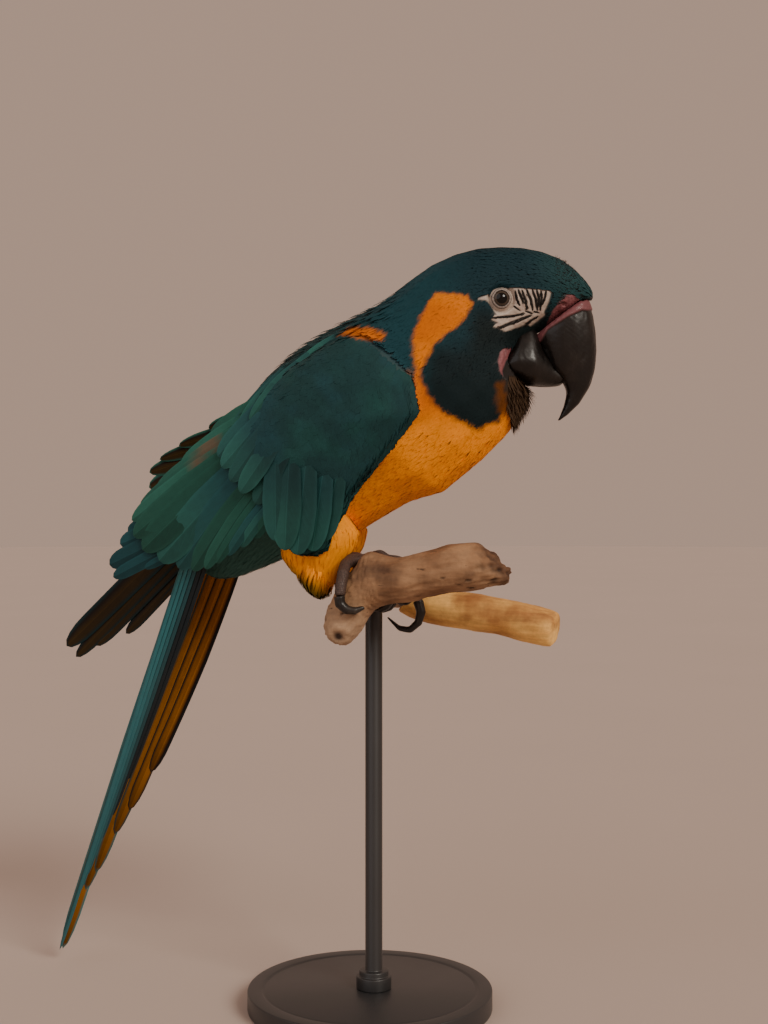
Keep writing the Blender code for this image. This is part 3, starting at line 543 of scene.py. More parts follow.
def copy_of(name, nodes, grow=0.0):
    """A new object holding welded copies of these CAD solids, each grown along its normals."""
    whole = bmesh.new()
    for node in nodes:
        solid = bmesh.new()
        solid.from_mesh(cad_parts[node].data)
        bmesh.ops.remove_doubles(solid, verts=solid.verts, dist=0.01 * MM)
        solid.normal_update()
        for vertex, normal in [(v, v.normal.copy()) for v in solid.verts]:
            vertex.co += normal * grow
        mesh = bpy.data.meshes.new(name)
        solid.to_mesh(mesh)
        solid.free()
        whole.from_mesh(mesh)
        bpy.data.meshes.remove(mesh)
    mesh = bpy.data.meshes.new(name)
    whole.to_mesh(mesh)
    whole.free()
    piece = bpy.data.objects.new(name, mesh)
    bpy.context.collection.objects.link(piece)
    return piece


def remesh(piece, voxel):
    """Even facets of about this size, in place of the object's own."""
    apply_modifier(piece, "REMESH", mode="VOXEL", voxel_size=voxel, use_smooth_shade=True)


def remeshed_copy(name, nodes, grow, voxel):
    piece = copy_of(name, nodes, grow)
    remesh(piece, voxel)
    return piece


def averaging(piece):
    """A function that averages, for each vertex, the values of its neighbours along the edges."""
    edges = np.empty(len(piece.data.edges) * 2, np.int32)
    piece.data.edges.foreach_get("vertices", edges)
    a, b = edges.reshape(-1, 2).T
    size = len(piece.data.vertices)
    count = np.maximum(np.bincount(np.concatenate((a, b)), minlength=size), 1)[:, None]

    def average(values):
        sums = [np.bincount(a, values[b, i], size) + np.bincount(b, values[a, i], size)
                for i in range(3)]
        return np.stack(sums, axis=1) / count

    return average


def relax(piece, rounds):
    """Smooths away facets without shrinking: each smoothing step is followed by one that swells."""
    average = averaging(piece)
    points = points_of(piece)
    for _ in range(rounds):
        for step in (SMOOTHING_STEP, SWELLING_STEP):
            points = points + step * (average(points) - points)
    move_points(piece, points)


def soften(piece, rounds, keep=None):
    """Melts broad facets away; what that takes from the whole shape is added back."""
    average = averaging(piece)

    def melted(values):
        for _ in range(rounds):
            values = values + MELTING_STEP * (average(values) - values)
        return values

    start = points_of(piece)
    points = melted(start)
    points = points + melted(start - points)
    if keep is not None:
        points = points + (start - points) * keep(start)[:, None]
    move_points(piece, points)


def store(piece, name, values):
    """Keeps one number or one colour for each vertex on the mesh, for its material to read."""
    colour = np.ndim(values) == 2
    layer = piece.data.attributes.new(name, "FLOAT_COLOR" if colour else "FLOAT", "POINT")
    if colour:
        values = np.hstack((values, np.ones((len(values), 1))))
    layer.data.foreach_set("color" if colour else "value", np.asarray(values, np.float32).ravel())


def smooth_shade(piece, angle=None):
    only(piece)
    if angle is None:
        bpy.ops.object.shade_smooth()
    else:
        bpy.ops.object.shade_smooth_by_angle(angle=math.radians(angle))


def dress(piece, material, slot, *nodes):
    """Gives a piece its material, hangs it from the model's root and hides the solids it stands for."""
    piece.data.materials.clear()
    piece.data.materials.append(material)
    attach(piece, "root")
    if nodes:
        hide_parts(*nodes)
    return piece


def surface_tree(piece):
    """Nearest-point and ray lookup on an object's surface."""
    mesh = piece.data
    return BVHTree.FromPolygons([v.co for v in mesh.vertices], [p.vertices for p in mesh.polygons])


def node_tree(node):
    return surface_tree(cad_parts[node])


def nearest(tree, points):
    """Nearest place on a surface, its normal and its distance, for each point."""
    found = [tree.find_nearest(Vector(p)) for p in points]
    return (np.array([f[0] for f in found]), np.array([f[1] for f in found]),
            np.array([f[3] for f in found]))


# ---- vanes ----
# A vane is a closed blade.  Each cross-section is a ring of (across, lift): across runs from -1 to 1
# between the edges, lift is 1 on the raised outside and negative underneath.
SMALL_RING = ((-1, 0), (0, 1), (1, 0), (0, -0.6))
LARGE_RING = ((-1, 0), (-0.6, 0.62), (-0.1, 0.9), (0, 1.25), (0.1, 0.9), (0.6, 0.62), (1, 0),
              (0.94, -0.3), (0.55, -0.5), (0, -0.8), (-0.55, -0.5), (-0.94, -0.3))


def vane_mesh(name, spines, sides, ups, halves, lifts, colours, patches, ring=SMALL_RING, under=None,
              patch_size=0.003):
    """One mesh of many vanes.

    spines, sides and ups are (vane, row, 3); halves and lifts are half widths and thicknesses
    (vane, row); colours are (vane, row, 3); patches are (vane, 2) places on the unwrapped skin.
    The first and last rows close to a point.
    """
    vanes, rows = halves.shape
    across = np.array([r[0] for r in ring], float)
    lift = np.array([r[1] for r in ring], float)
    size = len(ring)
    body = (spines[:, 1:-1, None] + sides[:, 1:-1, None] * (halves[:, 1:-1, None] * across)[..., None] +
            ups[:, 1:-1, None] * (lifts[:, 1:-1, None] * lift)[..., None])
    inner = rows - 2
    points = np.concatenate((spines[:, :1], body.reshape(vanes, inner * size, 3), spines[:, -1:]),
                            axis=1)
    per_vane = 2 + inner * size
    faces, below = [], []
    for j in range(size):
        k = (j + 1) % size
        hidden = lift[j] < 0 or lift[k] < 0
        faces.append((0, 1 + k, 1 + j))
        below.append(hidden)
        for i in range(inner - 1):
            a, b = 1 + i * size, 1 + (i + 1) * size
            faces.append((a + j, a + k, b + k, b + j))
            below.append(hidden)
        last = 1 + (inner - 1) * size
        faces.append((last + j, last + k, per_vane - 1))
        below.append(hidden)
    loops = np.concatenate([np.array(f) for f in faces])
    starts = np.cumsum([0] + [len(f) for f in faces[:-1]])
    all_loops = (loops[None] + (np.arange(vanes) * per_vane)[:, None]).ravel()
    all_starts = (starts[None] + (np.arange(vanes) * len(loops))[:, None]).ravel()
    mesh = bpy.data.meshes.new(name)
    mesh.vertices.add(vanes * per_vane)
    mesh.vertices.foreach_set("co", points.astype(np.float32).ravel())
    mesh.loops.add(len(all_loops))
    mesh.loops.foreach_set("vertex_index", all_loops.astype(np.int32))
    mesh.polygons.add(len(all_starts))
    mesh.polygons.foreach_set("loop_start", all_starts.astype(np.int32))
    mesh.update(calc_edges=True)
    mesh.validate()
    piece = bpy.data.objects.new(name, mesh)
    bpy.context.collection.objects.link(piece)

    t = np.linspace(0, 1, rows)
    along = np.concatenate(([0.0], np.repeat(t[1:-1], size), [1.0]))
    sideways = np.concatenate(([0.0], np.tile(across, inner), [0.0]))
    tints = np.concatenate((colours[:, :1], np.repeat(colours[:, 1:-1], size, axis=1), colours[:, -1:]),
                           axis=1)
    if under is not None:
        # The underside's own colours: its middle and its margins.
        lower = np.concatenate(([False], np.tile((lift < 0) & (np.abs(across) < 0.9), inner), [False]))
        share = smooth_step(0.2, 0.55, sideways)[lower][None]
        if len(under) > 2:
            # How strong the margin is on each vane; all of them darken to the tip.
            tip = 0.75 * smooth_step(0.50, 1.0, along[lower])
            share = np.maximum(share * under[2][:, None], tip)
        share = np.broadcast_to(share, (vanes, lower.sum()))
        tints[:, lower] = mix(under[0][None, None], under[1][None, None], share)
    store(piece, "plumage", tints.reshape(-1, 3))
    store(piece, "along", np.tile(along, vanes))
    store(piece, "across", np.tile(sideways, vanes))
    # Each vane has its own small patch of the map: the outside takes two thirds of it.
    layer = mesh.uv_layers.new(name="OFBake")
    turned_under = np.repeat(below, [len(f) for f in faces])
    u = sideways[loops] * 0.5
    v = np.where(turned_under, 0.70 + 0.30 * along[loops], 0.66 * along[loops]) - 0.5
    patch = patches[:, None] + np.stack((u, v), axis=1)[None] * patch_size
    layer.data.foreach_set("uv", np.clip(patch, 0, 1).astype(np.float32).ravel())
    smooth_shade(piece, 50)
    return piece


def follow(tree, roots, lie, lengths, rows, low, high):
    """Blades' middle lines, laid along the skin from their roots and rising from low to high."""
    spines, sides, ups = [], [], []
    place = roots
    for k in range(rows):
        point, normal, _ = nearest(tree, place)
        forward = lie(point)
        forward = unit(forward - normal * np.sum(forward * normal, axis=1, keepdims=True))
        t = k / (rows - 1)
        rise = low + (high - low) * math.sin(t * math.pi / 2)
        spines.append(point + normal * rise[:, None])
        sides.append(np.cross(forward, normal))
        ups.append(normal)
        place = point + forward * (lengths / (rows - 1))[:, None]
    return np.stack(spines, 1), np.stack(sides, 1), np.stack(ups, 1)


SPOTS_PER_CELL = 6                           # spots thrown before all but one in a cell are dropped
CELL_KEYS = (73856093, 19349663, 83492791)   # large primes that give each cell its own number


def sprinkle(piece, spacing, seed, keep=None):
    """Points spread evenly over a surface, about `spacing` metres apart.

    spacing is a number or a function of places; keep picks triangles by their middles.
    """
    rng = np.random.default_rng(seed)
    mesh = piece.data
    mesh.calc_loop_triangles()
    corners = np.empty(len(mesh.loop_triangles) * 3, np.int32)
    mesh.loop_triangles.foreach_get("vertices", corners)
    triangles = points_of(piece)[corners.reshape(-1, 3)]
    if keep is not None:
        triangles = triangles[keep(triangles.mean(axis=1))]
    first_edge, second_edge = triangles[:, 1] - triangles[:, 0], triangles[:, 2] - triangles[:, 0]
    area = np.linalg.norm(np.cross(first_edge, second_edge), axis=1) / 2
    step = spacing(triangles.mean(axis=1)) if callable(spacing) else np.full(len(area), spacing)
    wanted = area / step ** 2 * SPOTS_PER_CELL
    times = np.floor(wanted + rng.random(len(wanted))).astype(int)
    chosen = np.repeat(np.arange(len(area)), times)
    a, b = rng.random(len(chosen)), rng.random(len(chosen))
    over = a + b > 1
    a[over], b[over] = 1 - a[over], 1 - b[over]
    t = triangles[chosen]
    spots = t[:, 0] + (t[:, 1] - t[:, 0]) * a[:, None] + (t[:, 2] - t[:, 0]) * b[:, None]
    # One spot for each cell of a grid keeps the spots apart.
    offset = np.stack([0.35 * wobble(spots, 0.02, seed) for seed in (1, 2, 3)], axis=1)
    cell = np.floor(spots / step[chosen][:, None] * 0.85 + offset).astype(np.int64)
    key = np.bitwise_xor.reduce(cell * CELL_KEYS, axis=1)
    order = rng.permutation(len(spots))
    _, first = np.unique(key[order], return_index=True)
    return spots[order[first]]


# ---- the eyes' places and the face's feather lines ----
EYE_AXIS = (0.20, 1.0, 0.01)                 # outward direction of an eye on the straight head
# Lines of small dark feathers on the bare face: points as (x, z) in mm, then half the widest width.
FACE_LINES = [
    ([(107.5, 507.5), (108.5, 502), (110.5, 497.5)], 0.75),
    ([(109.5, 508.5), (111.5, 503.5), (113.5, 499)], 0.85),
    ([(112, 508), (114.5, 501.5), (115.5, 495)], 0.85),
    ([(115, 508.5), (118, 502), (119.5, 495)], 0.9),
    ([(119, 508.5), (121.5, 502), (122.5, 495)], 0.85),
    ([(122, 508.5), (123.5, 503.5), (123.5, 497.5)], 0.8),
    ([(125, 508), (125.5, 503), (124.5, 495)], 0.8),
    ([(128.5, 508), (128, 504), (126, 498.5)], 0.7), ([(106.5, 497), (111, 494)], 0.55),
    ([(91.5, 488.5), (99, 489.5), (106.5, 490.5), (114, 492.5)], 0.8),
    ([(114.5, 494), (119.5, 492.5)], 0.55), ([(120, 494), (124, 493)], 0.5),
    ([(93.5, 480.5), (102, 484.5), (118.5, 491.5)], 1.05),
    ([(108, 481.5), (114, 484.5), (118, 488), (123, 491)], 0.7)]


def line_share(points):
    """1 on the lines of small dark feathers that cross the bare face; they taper to their ends."""
    x, _, z = straighten(points).T
    share = np.zeros(len(x))
    for line, half in FACE_LINES:
        line = np.array(line) * MM
        run = run_along(line)
        for first, second, start in zip(line[:-1], line[1:], run):
            gap, t = segment_gap(x, z, first, second)
            place = (start + t * math.hypot(*(second - first))) / run[-1]
            width = 1.2 * half * MM * (0.35 + 0.65 * np.clip(np.sin(math.pi * place), 0, 1) ** 0.6)
            share = np.maximum(share, smooth_step(width + 0.25 * MM, width - 0.25 * MM, gap))
    return share


def eye_place(word, side):
    """Centre, outward axis and radius of one eye."""
    low, high = (np.array(corner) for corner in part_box("eye_" + word))
    centre = (low + high) / 2
    axis = np.array([[EYE_AXIS[0], side * EYE_AXIS[1], EYE_AXIS[2]]])
    axis = unit(turn_back(axis, centre[None]))[0]
    return centre, axis, (high[2] - low[2]) / 2


def skin_tone(points):
    """Markings of the skin itself: the plumage's, and the bare face with its feather lines."""
    colour = body_tone(points)
    bare, rosy = face_masks(points)
    white = FACE_SKIN * (1 + 0.10 * wobble(points, 0.004, 21))[:, None]
    white = mix(white, FACE_BLUSH, 0.55 * smooth_step(0.2, 1.0, wobble(points, 0.007, 22)))
    colour = mix(colour, white, bare)
    pink = CERE * (1 + 0.22 * wobble(points, 0.0035, 23))[:, None]
    colour = mix(colour, pink, rosy)
    colour = mix(colour, HORN, horn_share(points))
    return mix(colour, FACE_LINE, 0.9 * line_share(points) * bare)


def body_map(points):
    """Unwrapped place of each point: turn round the body's middle line, and length along it."""
    straight = straighten(points)
    line = np.array(BODY_LINE)
    seg = line[1:] - line[:-1]
    length = np.linalg.norm(seg, axis=1)
    start = np.concatenate(([0], np.cumsum(length)[:-1]))
    flat = straight[:, (0, 2)]
    best, run, off = np.full(len(flat), np.inf), np.zeros(len(flat)), np.zeros(len(flat))
    for i in range(len(seg)):
        t = ((flat - line[i]) @ seg[i]) / length[i] ** 2
        low = -0.5 if i == 0 else 0.0
        high = 1.8 if i == len(seg) - 1 else 1.0
        t = np.clip(t, low, high)
        gap = flat - line[i] - t[:, None] * seg[i]
        distance = np.linalg.norm(gap, axis=1)
        closer = distance < best
        best = np.where(closer, distance, best)
        run = np.where(closer, start[i] + t * length[i], run)
        above = gap[:, 0] * -seg[i][1] / length[i] + gap[:, 1] * seg[i][0] / length[i]
        off = np.where(closer, -above, off)
    around = 0.03 + 0.94 * (np.arctan2(straight[:, 1], off) / (2 * math.pi) + 0.5)
    return np.stack((around, 0.06 + 0.88 * (run + 0.03) / 0.46), axis=1)


# ---- sizes and colours a user may change ----
def length_setting(name, description, default, low, high):
    return FloatProperty(name=name, description=description, default=default, min=low, max=high,
                         unit="LENGTH")


def colour_setting(name, description, default):
    return FloatVectorProperty(name=name, description=description, default=default, min=0, max=1,
                               size=3, subtype="COLOR")


class MacawCoat(bpy.types.PropertyGroup):
    """How deep the feathers lie over the skin."""
    body_depth: length_setting("Body depth", "Depth of the feathers over the body's skin",
                               0.0018, 0.001, 0.008)
    head_depth: length_setting("Head depth", "Depth of the feathers over the head's skin",
                               0.0011, 0.0005, 0.004)
    wing_depth: length_setting("Wing depth", "Depth of the small coverts over the wing",
                               0.0013, 0.0005, 0.005)
    spacing: length_setting("Spacing", "Distance between the roots of the breast's feathers",
                            0.0021, 0.0015, 0.008)
    seed: IntProperty(name="Seed", description="Picks another arrangement of the feathers",
                      default=7, min=0)


class MacawSkin(bpy.types.PropertyGroup):
    """The skin's fineness and the eyes' opening."""
    voxel: length_setting("Fineness", "Size of the skin's facets", 0.00125, 0.0008, 0.004)
    eye_opening: length_setting("Eye opening", "Radius of the opening between the eyelids",
                                0.0052, 0.004, 0.008)
    iris: colour_setting("Iris", "Colour of the iris", (0.075, 0.052, 0.036))


class MacawStand(bpy.types.PropertyGroup):
    """Perch and stand."""
    grain_depth: length_setting("Grain depth", "Depth of the driftwood's weathered grain",
                                0.0005, 0, 0.003)
    paint: colour_setting("Paint", "Colour of the stand's satin paint", (0.020, 0.020, 0.021))


class MacawStage(bpy.types.PropertyGroup):
    """Floor, light and camera."""
    floor_colour: colour_setting("Floor", "Colour of the studio floor", (0.50, 0.405, 0.355))
    key_power: FloatProperty(name="Key light", description="Strength of the soft key light",
                             default=2.2, min=0, max=20)
    camera_focal: FloatProperty(name="Focal length", description="Focal length of the camera",
                                default=50.24, min=20, max=200, unit="CAMERA")


# ---- skin ----
FLESH = ["trunk", "neck", "head", "thigh_right", "thigh_left", "wing_right_coverts",
         "wing_left_coverts"]
FEET = ["foot_right", "foot_left"]
FLESH_GROWTH = 0.65 * MM                     # closes the gaps between the solids
FLESH_VOXEL, FEET_VOXEL = 0.0018, 0.0009
SKIN_TRIANGLES = 185000                      # what the skin is thinned to under its feathers


def on_shield(points, margin=0.0):
    """True where the folded wings' coverts are nearer, by some margin, than the body."""
    gaps = {node: nearest(node_tree(node), points)[2] for node in REGIONS}
    wing = np.min([gap for node, gap in gaps.items() if "coverts" in node], axis=0)
    body = np.min([gap for node, gap in gaps.items() if "coverts" not in node], axis=0)
    return wing + margin < body


class MACAW_OT_skin(bpy.types.Operator):
    """Make one skin over the whole bird, with eye sockets, nostrils and folds on the face"""
    bl_idname = "macaw.skin"
    bl_label = "Skin"
    bl_options = {"REGISTER", "UNDO"}

    def execute(self, context):
        coat, settings = context.scene.macaw_coat, context.scene.macaw_skin
        # The skin lies under the solids' surface by the coat's depth, or by little where bare.
        skin = remeshed_copy("skin", FLESH + ["eye_right", "eye_left"], FLESH_GROWTH, FLESH_VOXEL)
        relax(skin, 26)
        points = points_of(skin)
        share = head_share(points, 0.030, 0.075)
        depth = coat.body_depth + (coat.head_depth - coat.body_depth) * share
        depth = depth + (0.3 * MM - depth) * bare_share(points)
        move_points(skin, points - normals_of(skin) * (depth + FLESH_GROWTH)[:, None])
        feet = remeshed_copy("feet", FEET, 0.3 * MM, FEET_VOXEL)
        relax(feet, 14)
        # The front toes sink a little into the wood's hollows.
        points = points_of(feet)
        front = smooth_step(-0.004, 0.006, points[:, 0])
        points[:, 2] -= 0.6 * front * np.clip(points[:, 2] - 0.322, 0, None)
        move_points(feet, points)
        only(feet, skin)
        bpy.ops.object.join()
        remesh(skin, settings.voxel)
        relax(skin, 6)
        self.refine_face(skin)
        self.shape_face(skin, settings.eye_opening)
        points = points_of(skin)
        scaly = self.scaly_share(points)
        colour = skin_tone(points)
        near = np.nonzero((points[:, 0] < 0.055) & (points[:, 2] > 0.325))[0]
        wing = on_shield(points[near])
        colour[near[wing]] = shield_tone(points[near[wing]])
        store(skin, "plumage", mix(colour, FOOT, scaly))
        store(skin, "bare", bare_share(points))
        store(skin, "horn", horn_share(points))
        store(skin, "scaly", scaly)
        smooth_shade(skin)
        dress(skin, skin_finish(), "foot_scales", *FLESH, *FEET)
        return {"FINISHED"}

    @staticmethod
    def refine_face(skin):
        """Three times finer facets on the bare face, for its lines and folds."""
        only(skin)
        points = points_of(skin)
        near = bare_share(points) + horn_share(points) > 0.02
        bpy.ops.object.mode_set(mode="EDIT")
        bpy.ops.mesh.select_mode(type="VERT")
        bpy.ops.mesh.select_all(action="DESELECT")
        shape = bmesh.from_edit_mesh(skin.data)
        for vertex, wanted in zip(shape.verts, near):
            vertex.select_set(bool(wanted))
        shape.select_flush_mode()
        bpy.ops.mesh.subdivide(number_cuts=2, smoothness=0.6)
        bpy.ops.object.mode_set(mode="OBJECT")

    @staticmethod
    def scaly_share(points):
        """1 on the feet and shanks, judged by which solid is nearer."""
        low = np.nonzero(points[:, 2] < 0.345)[0]
        share = np.zeros(len(points))
        near = [np.min([nearest(node_tree(node), points[low])[2] for node in nodes], axis=0)
                for nodes in (FEET, ("trunk", "thigh_right", "thigh_left"))]
        share[low] = smooth_step(0.3 * MM, -0.6 * MM, near[0] - near[1])
        return share

    @staticmethod
    def shape_face(skin, opening):
        """Sinks the eye sockets and nostrils and folds the skin between the face's feather lines."""
        points, normals = points_of(skin), normals_of(skin)
        straight = straighten(points)
        x, z = straight[:, 0], straight[:, 2]
        bare, rosy = face_masks(points)
        folds = 0.22 * MM * bare * (0.5 - line_share(points))
        folds = folds + 0.10 * MM * bare * wobble(points, 0.0032, 31)
        nostril = np.hypot((x - 0.1405) * 0.85, z - 0.4995)
        folds = folds + 0.45 * MM * smooth_step(0.0065, 0.0030, nostril)
        hole = smooth_step(0.0019, 0.0009, nostril) * (np.abs(straight[:, 1]) > 0.006)
        folds = folds - 1.5 * MM * hole
        folds = folds + 0.18 * MM * rosy * wobble(points, 0.003, 32)
        points = points + normals * folds[:, None]
        for word, side in SIDES:
            centre, axis, radius = eye_place(word, side)
            arm = points - centre
            height = arm @ axis
            reach = np.linalg.norm(arm - height[:, None] * axis, axis=1)
            ball = np.sqrt(np.maximum(radius ** 2 - reach ** 2, 0))
            sunk = smooth_step(opening + 0.4 * MM, opening - 0.5 * MM, reach)
            floor = ball + 0.25 * MM - 3.2 * MM * sunk
            ring = 0.30 * MM * np.cos((reach - opening) / (0.9 * MM) * math.pi)
            ring = ring * smooth_step(opening + 4 * MM, opening, reach)
            share = smooth_step(11 * MM, opening + 0.8 * MM, reach) * (height > 0)
            points = points + axis * ((floor + ring - height) * share)[:, None]
        move_points(skin, points)


class MACAW_OT_thin_skin(bpy.types.Operator):
    """Merge facets of the finished skin where feathers hide it; face and feet stay fine"""
    bl_idname = "macaw.thin_skin"
    bl_label = "Thin skin"
    bl_options = {"REGISTER", "UNDO"}

    def execute(self, context):
        skin = bpy.data.objects["skin"]
        points = points_of(skin)
        shown = bare_share(points) + horn_share(points) + MACAW_OT_skin.scaly_share(points)
        hidden = np.nonzero(shown < 0.01)[0]
        skin.vertex_groups.new(name="hidden").add(hidden.tolist(), 1.0, "REPLACE")
        skin.data.calc_loop_triangles()
        apply_modifier(skin, "DECIMATE", ratio=SKIN_TRIANGLES / len(skin.data.loop_triangles),
                       vertex_group="hidden", vertex_group_factor=1.0)
        skin.vertex_groups.clear()
        return {"FINISHED"}


# ---- eyes ----
LID_MIDDLE = 0.75 * MM                       # from the opening's edge to the middle of the lid


class MACAW_OT_eyes(bpy.types.Operator):
    """Make the eyeballs with a bulging cornea, and the wrinkled lids round them"""
    bl_idname = "macaw.eyes"
    bl_label = "Eyes"
    bl_options = {"REGISTER", "UNDO"}

    def execute(self, context):
        settings = context.scene.macaw_skin
        eye = eye_finish("eye", tone(0.0015, 0.0012, 0.0010), np.array(settings.iris))
        lid = lid_finish()
        for word, side in SIDES:
            centre, axis, radius = eye_place(word, side)
            self.add_ball(word, centre, axis, radius, eye)
            self.add_lids(word, centre, axis, radius, settings.eye_opening, lid)
        return {"FINISHED"}

    @staticmethod
    def axes(axis):
        """Sideways and upward directions across an eye's axis."""
        up = unit(np.array((0, 0, 1.0)) - axis * axis[2])
        return np.cross(up, axis), up

    def add_ball(self, word, centre, axis, radius, material):
        ball = primitive(bpy.ops.mesh.primitive_uv_sphere_add, "eyeball_" + word,
                         segments=72, ring_count=48, radius=radius)
        points = points_of(ball)
        flat = np.hypot(points[:, 0], points[:, 1]) / radius
        front = points[:, 2] > 0
        points[:, 2] += 0.6 * MM * np.clip(1 - (flat / 0.66) ** 2, 0, 1) * front
        over, up = self.axes(axis)
        spin = np.arctan2(points[:, 1], points[:, 0])
        move_points(ball, centre + points[:, :1] * over + points[:, 1:2] * up + points[:, 2:] * axis)
        store(ball, "reach", np.where(front, flat, 1.0))
        store(ball, "turn", np.abs(spin))
        smooth_shade(ball)
        dress(ball, material, "eye", "eye_" + word)

    def add_lids(self, word, centre, axis, radius, opening, material):
        lids = primitive(bpy.ops.mesh.primitive_torus_add, "eyelids_" + word,
                         major_segments=160, minor_segments=14,
                         major_radius=opening + LID_MIDDLE, minor_radius=0.9 * MM)
        points = points_of(lids)
        spin = np.arctan2(points[:, 1], points[:, 0])
        reach = np.hypot(points[:, 0], points[:, 1])
        out = reach - opening - LID_MIDDLE
        ball = math.sqrt(radius ** 2 - opening ** 2)
        # Fine notches round the rim, and a soft point at the front and rear corners.
        notch = 0.07 * MM * np.sin(spin * 46) + 0.10 * MM * np.sin(spin * 17 + 1)
        corner = 0.55 * MM * (np.abs(np.cos(spin)) ** 14)
        reach = reach + corner * (out > -0.3 * MM) + 0.05 * MM * np.sin(spin * 9)
        height = ball - 0.35 * MM + points[:, 2] * 0.85 - out * 0.45 + notch * (points[:, 2] > 0)
        over, up = self.axes(axis)
        across, rise = reach * np.cos(spin) * 0.97, reach * np.sin(spin) * 1.03
        move_points(lids, centre + across[:, None] * over + rise[:, None] * up + height[:, None] * axis)
        # Dark at the rim, and painted shade in the crease round the outer edge.
        rim, outer = smooth_step(-0.2 * MM, -0.6 * MM, out), smooth_step(0.45 * MM, 0.8 * MM, out)
        store(lids, "shade", np.maximum(rim, outer))
        smooth_shade(lids)
        dress(lids, material, "eye")


# ---- bill and claws ----
BILL_VOXEL, CLAW_VOXEL = 0.00055, 0.0004
RIDGE_SPACING = 0.0027                       # between the growth ridges of the bill


class MACAW_OT_bill(bpy.types.Operator):
    """Make the worn, overgrown upper bill and the lower bill with their growth ridges"""
    bl_idname = "macaw.bill"
    bl_label = "Bill"
    bl_options = {"REGISTER", "UNDO"}

    def execute(self, context):
        horn = horn_finish("bill horn", HORN, tone(0.026, 0.019, 0.015), 0.30)
        for name, node, grow in (("upper_bill", "bill_upper", 0.3), ("lower_bill", "bill_lower", 1.3)):
            bill = remeshed_copy(name, [node], grow * MM, BILL_VOXEL)
            soften(bill, 150, lambda points: smooth_step(0.436, 0.426, points[:, 2]))
            relax(bill, 30)
            if node == "bill_lower":
                self.fit_lower(bill)
            points, normals = points_of(bill), normals_of(bill)
            x, _, z = straighten(points).T
            ridge = z * 0.75 + x * 0.55 + 0.0016 * wobble(points, 0.02, 41)
            ridge = np.sin(ridge / RIDGE_SPACING * 2 * math.pi)
            flake = np.clip(wobble(points * (1, 1, 0.5), 0.008, 42) - 0.45, 0, 1)
            fleshy = edge(CERE_OUTLINE, x, z, 0.7 * MM) * (node == "bill_upper")
            rise = 0.012 * MM * ridge * smooth_step(0.43, 0.46, z) - 0.40 * MM * flake
            rise = rise + 0.03 * MM * wobble(points, 0.003, 43)
            rise = rise + 0.9 * MM * fleshy * (1 + 0.15 * wobble(points, 0.003, 44))
            move_points(bill, points + normals * (rise - 0.1 * MM)[:, None])
            store(bill, "fleshy", fleshy)
            smooth_shade(bill)
            dress(bill, horn, "bill_horn", node)
        return {"FINISHED"}

    @staticmethod
    def fit_lower(bill):
        """Fills the corner behind the upper bill's edge, and tucks the front in beneath it."""
        points = points_of(bill)
        x, y, z = straighten(points).T
        corner = smooth_step(0.464, 0.475, z) * smooth_step(0.139, 0.130, x)
        corner = corner * smooth_step(0.103, 0.113, x)
        narrow = 0.12 * corner + 0.30 * smooth_step(0.120, 0.136, x)
        shift = np.stack((np.zeros(len(x)), -y * narrow, 10.5 * MM * corner), axis=1)
        move_points(bill, points + turn_back(shift, points))


class MACAW_OT_claws(bpy.types.Operator):
    """Make the eight claws, with soft edges and a slightly uneven surface"""
    bl_idname = "macaw.claws"
    bl_label = "Claws"
    bl_options = {"REGISTER", "UNDO"}

    def execute(self, context):
        horn = horn_finish("claw horn", tone(0.010, 0.008, 0.007), tone(0.085, 0.062, 0.045), 0.34)
        for node in sorted(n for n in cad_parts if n.startswith("claw_")):
            claw = remeshed_copy("horn_" + node, [node], 0.80 * MM, CLAW_VOXEL)
            soften(claw, 30)
            points = points_of(claw)
            if node.startswith("claw_left") and node.endswith("front"):
                # These two curl up behind the log.
                tip = points[points[:, 0].argmin()]
                curl = np.clip(1 - np.linalg.norm(points - tip, axis=1) / (16 * MM), 0, 1) ** 1.5
                points = points + curl[:, None] * np.array((-2.0, 0, 6.5)) * MM
            rise = 0.05 * MM * wobble(points, 0.0025, 51) - 0.08 * MM
            move_points(claw, points + normals_of(claw) * rise[:, None])
            store(claw, "fleshy", np.zeros(len(points)))
            smooth_shade(claw)
            dress(claw, horn, "claw_horn", node)
        return {"FINISHED"}


# ---- body feathers ----
def body_lie(points):
    """Direction the feathers lie: back along the body's middle line from the bill's root."""
    straight = straighten(points)
    line = np.array(BODY_LINE)
    middle = (line[1:] + line[:-1]) / 2
    way = unit(line[1:] - line[:-1])
    gap = np.linalg.norm(straight[:, None, (0, 2)] - middle[None], axis=2)
    weight = 1 / (gap ** 4 + 1e-9)
    flow = (weight[..., None] * way[None]).sum(axis=1)
    flow = np.stack((flow[:, 0], np.zeros(len(flow)), flow[:, 1]), axis=1)
    return turn_back(unit(flow), points)


def thigh_lie(points):
    """Down, and a little forward over the toes in front."""
    ahead = -0.25 + 0.50 * smooth_step(-0.040, -0.010, points[:, 0])
    return unit(np.stack((ahead, np.zeros(len(ahead)), -np.ones(len(ahead))), axis=1))


def shield_lie(points):
    """Coverts fan out from ahead of and above the shoulder."""
    away = points - np.array((0.085, 0.0, 0.560))
    away[:, 1] = 0
    return unit(away)


# For each CAD solid, the name of its coat's piece and the lie of its feathers.
REGIONS = {
    "head": ("head", body_lie), "neck": ("neck", body_lie), "trunk": ("body", body_lie),
    "thigh_right": ("thigh_right", thigh_lie), "thigh_left": ("thigh_left", thigh_lie),
    "wing_right_coverts": ("shield_right", shield_lie),
    "wing_left_coverts": ("shield_left", shield_lie),
}


SHIELD_END = 0.329                           # height under which the folded wings have no coverts
FAR_AWAY = 1.0
ROOT_RISE = 0.10 * MM                        # how far the roots of the feathers stand off the skin
WING_REACH = 0.022                           # feathers this near to a wing make way for it
LIFTED_SHARE = 0.12                          # of the nape's feathers


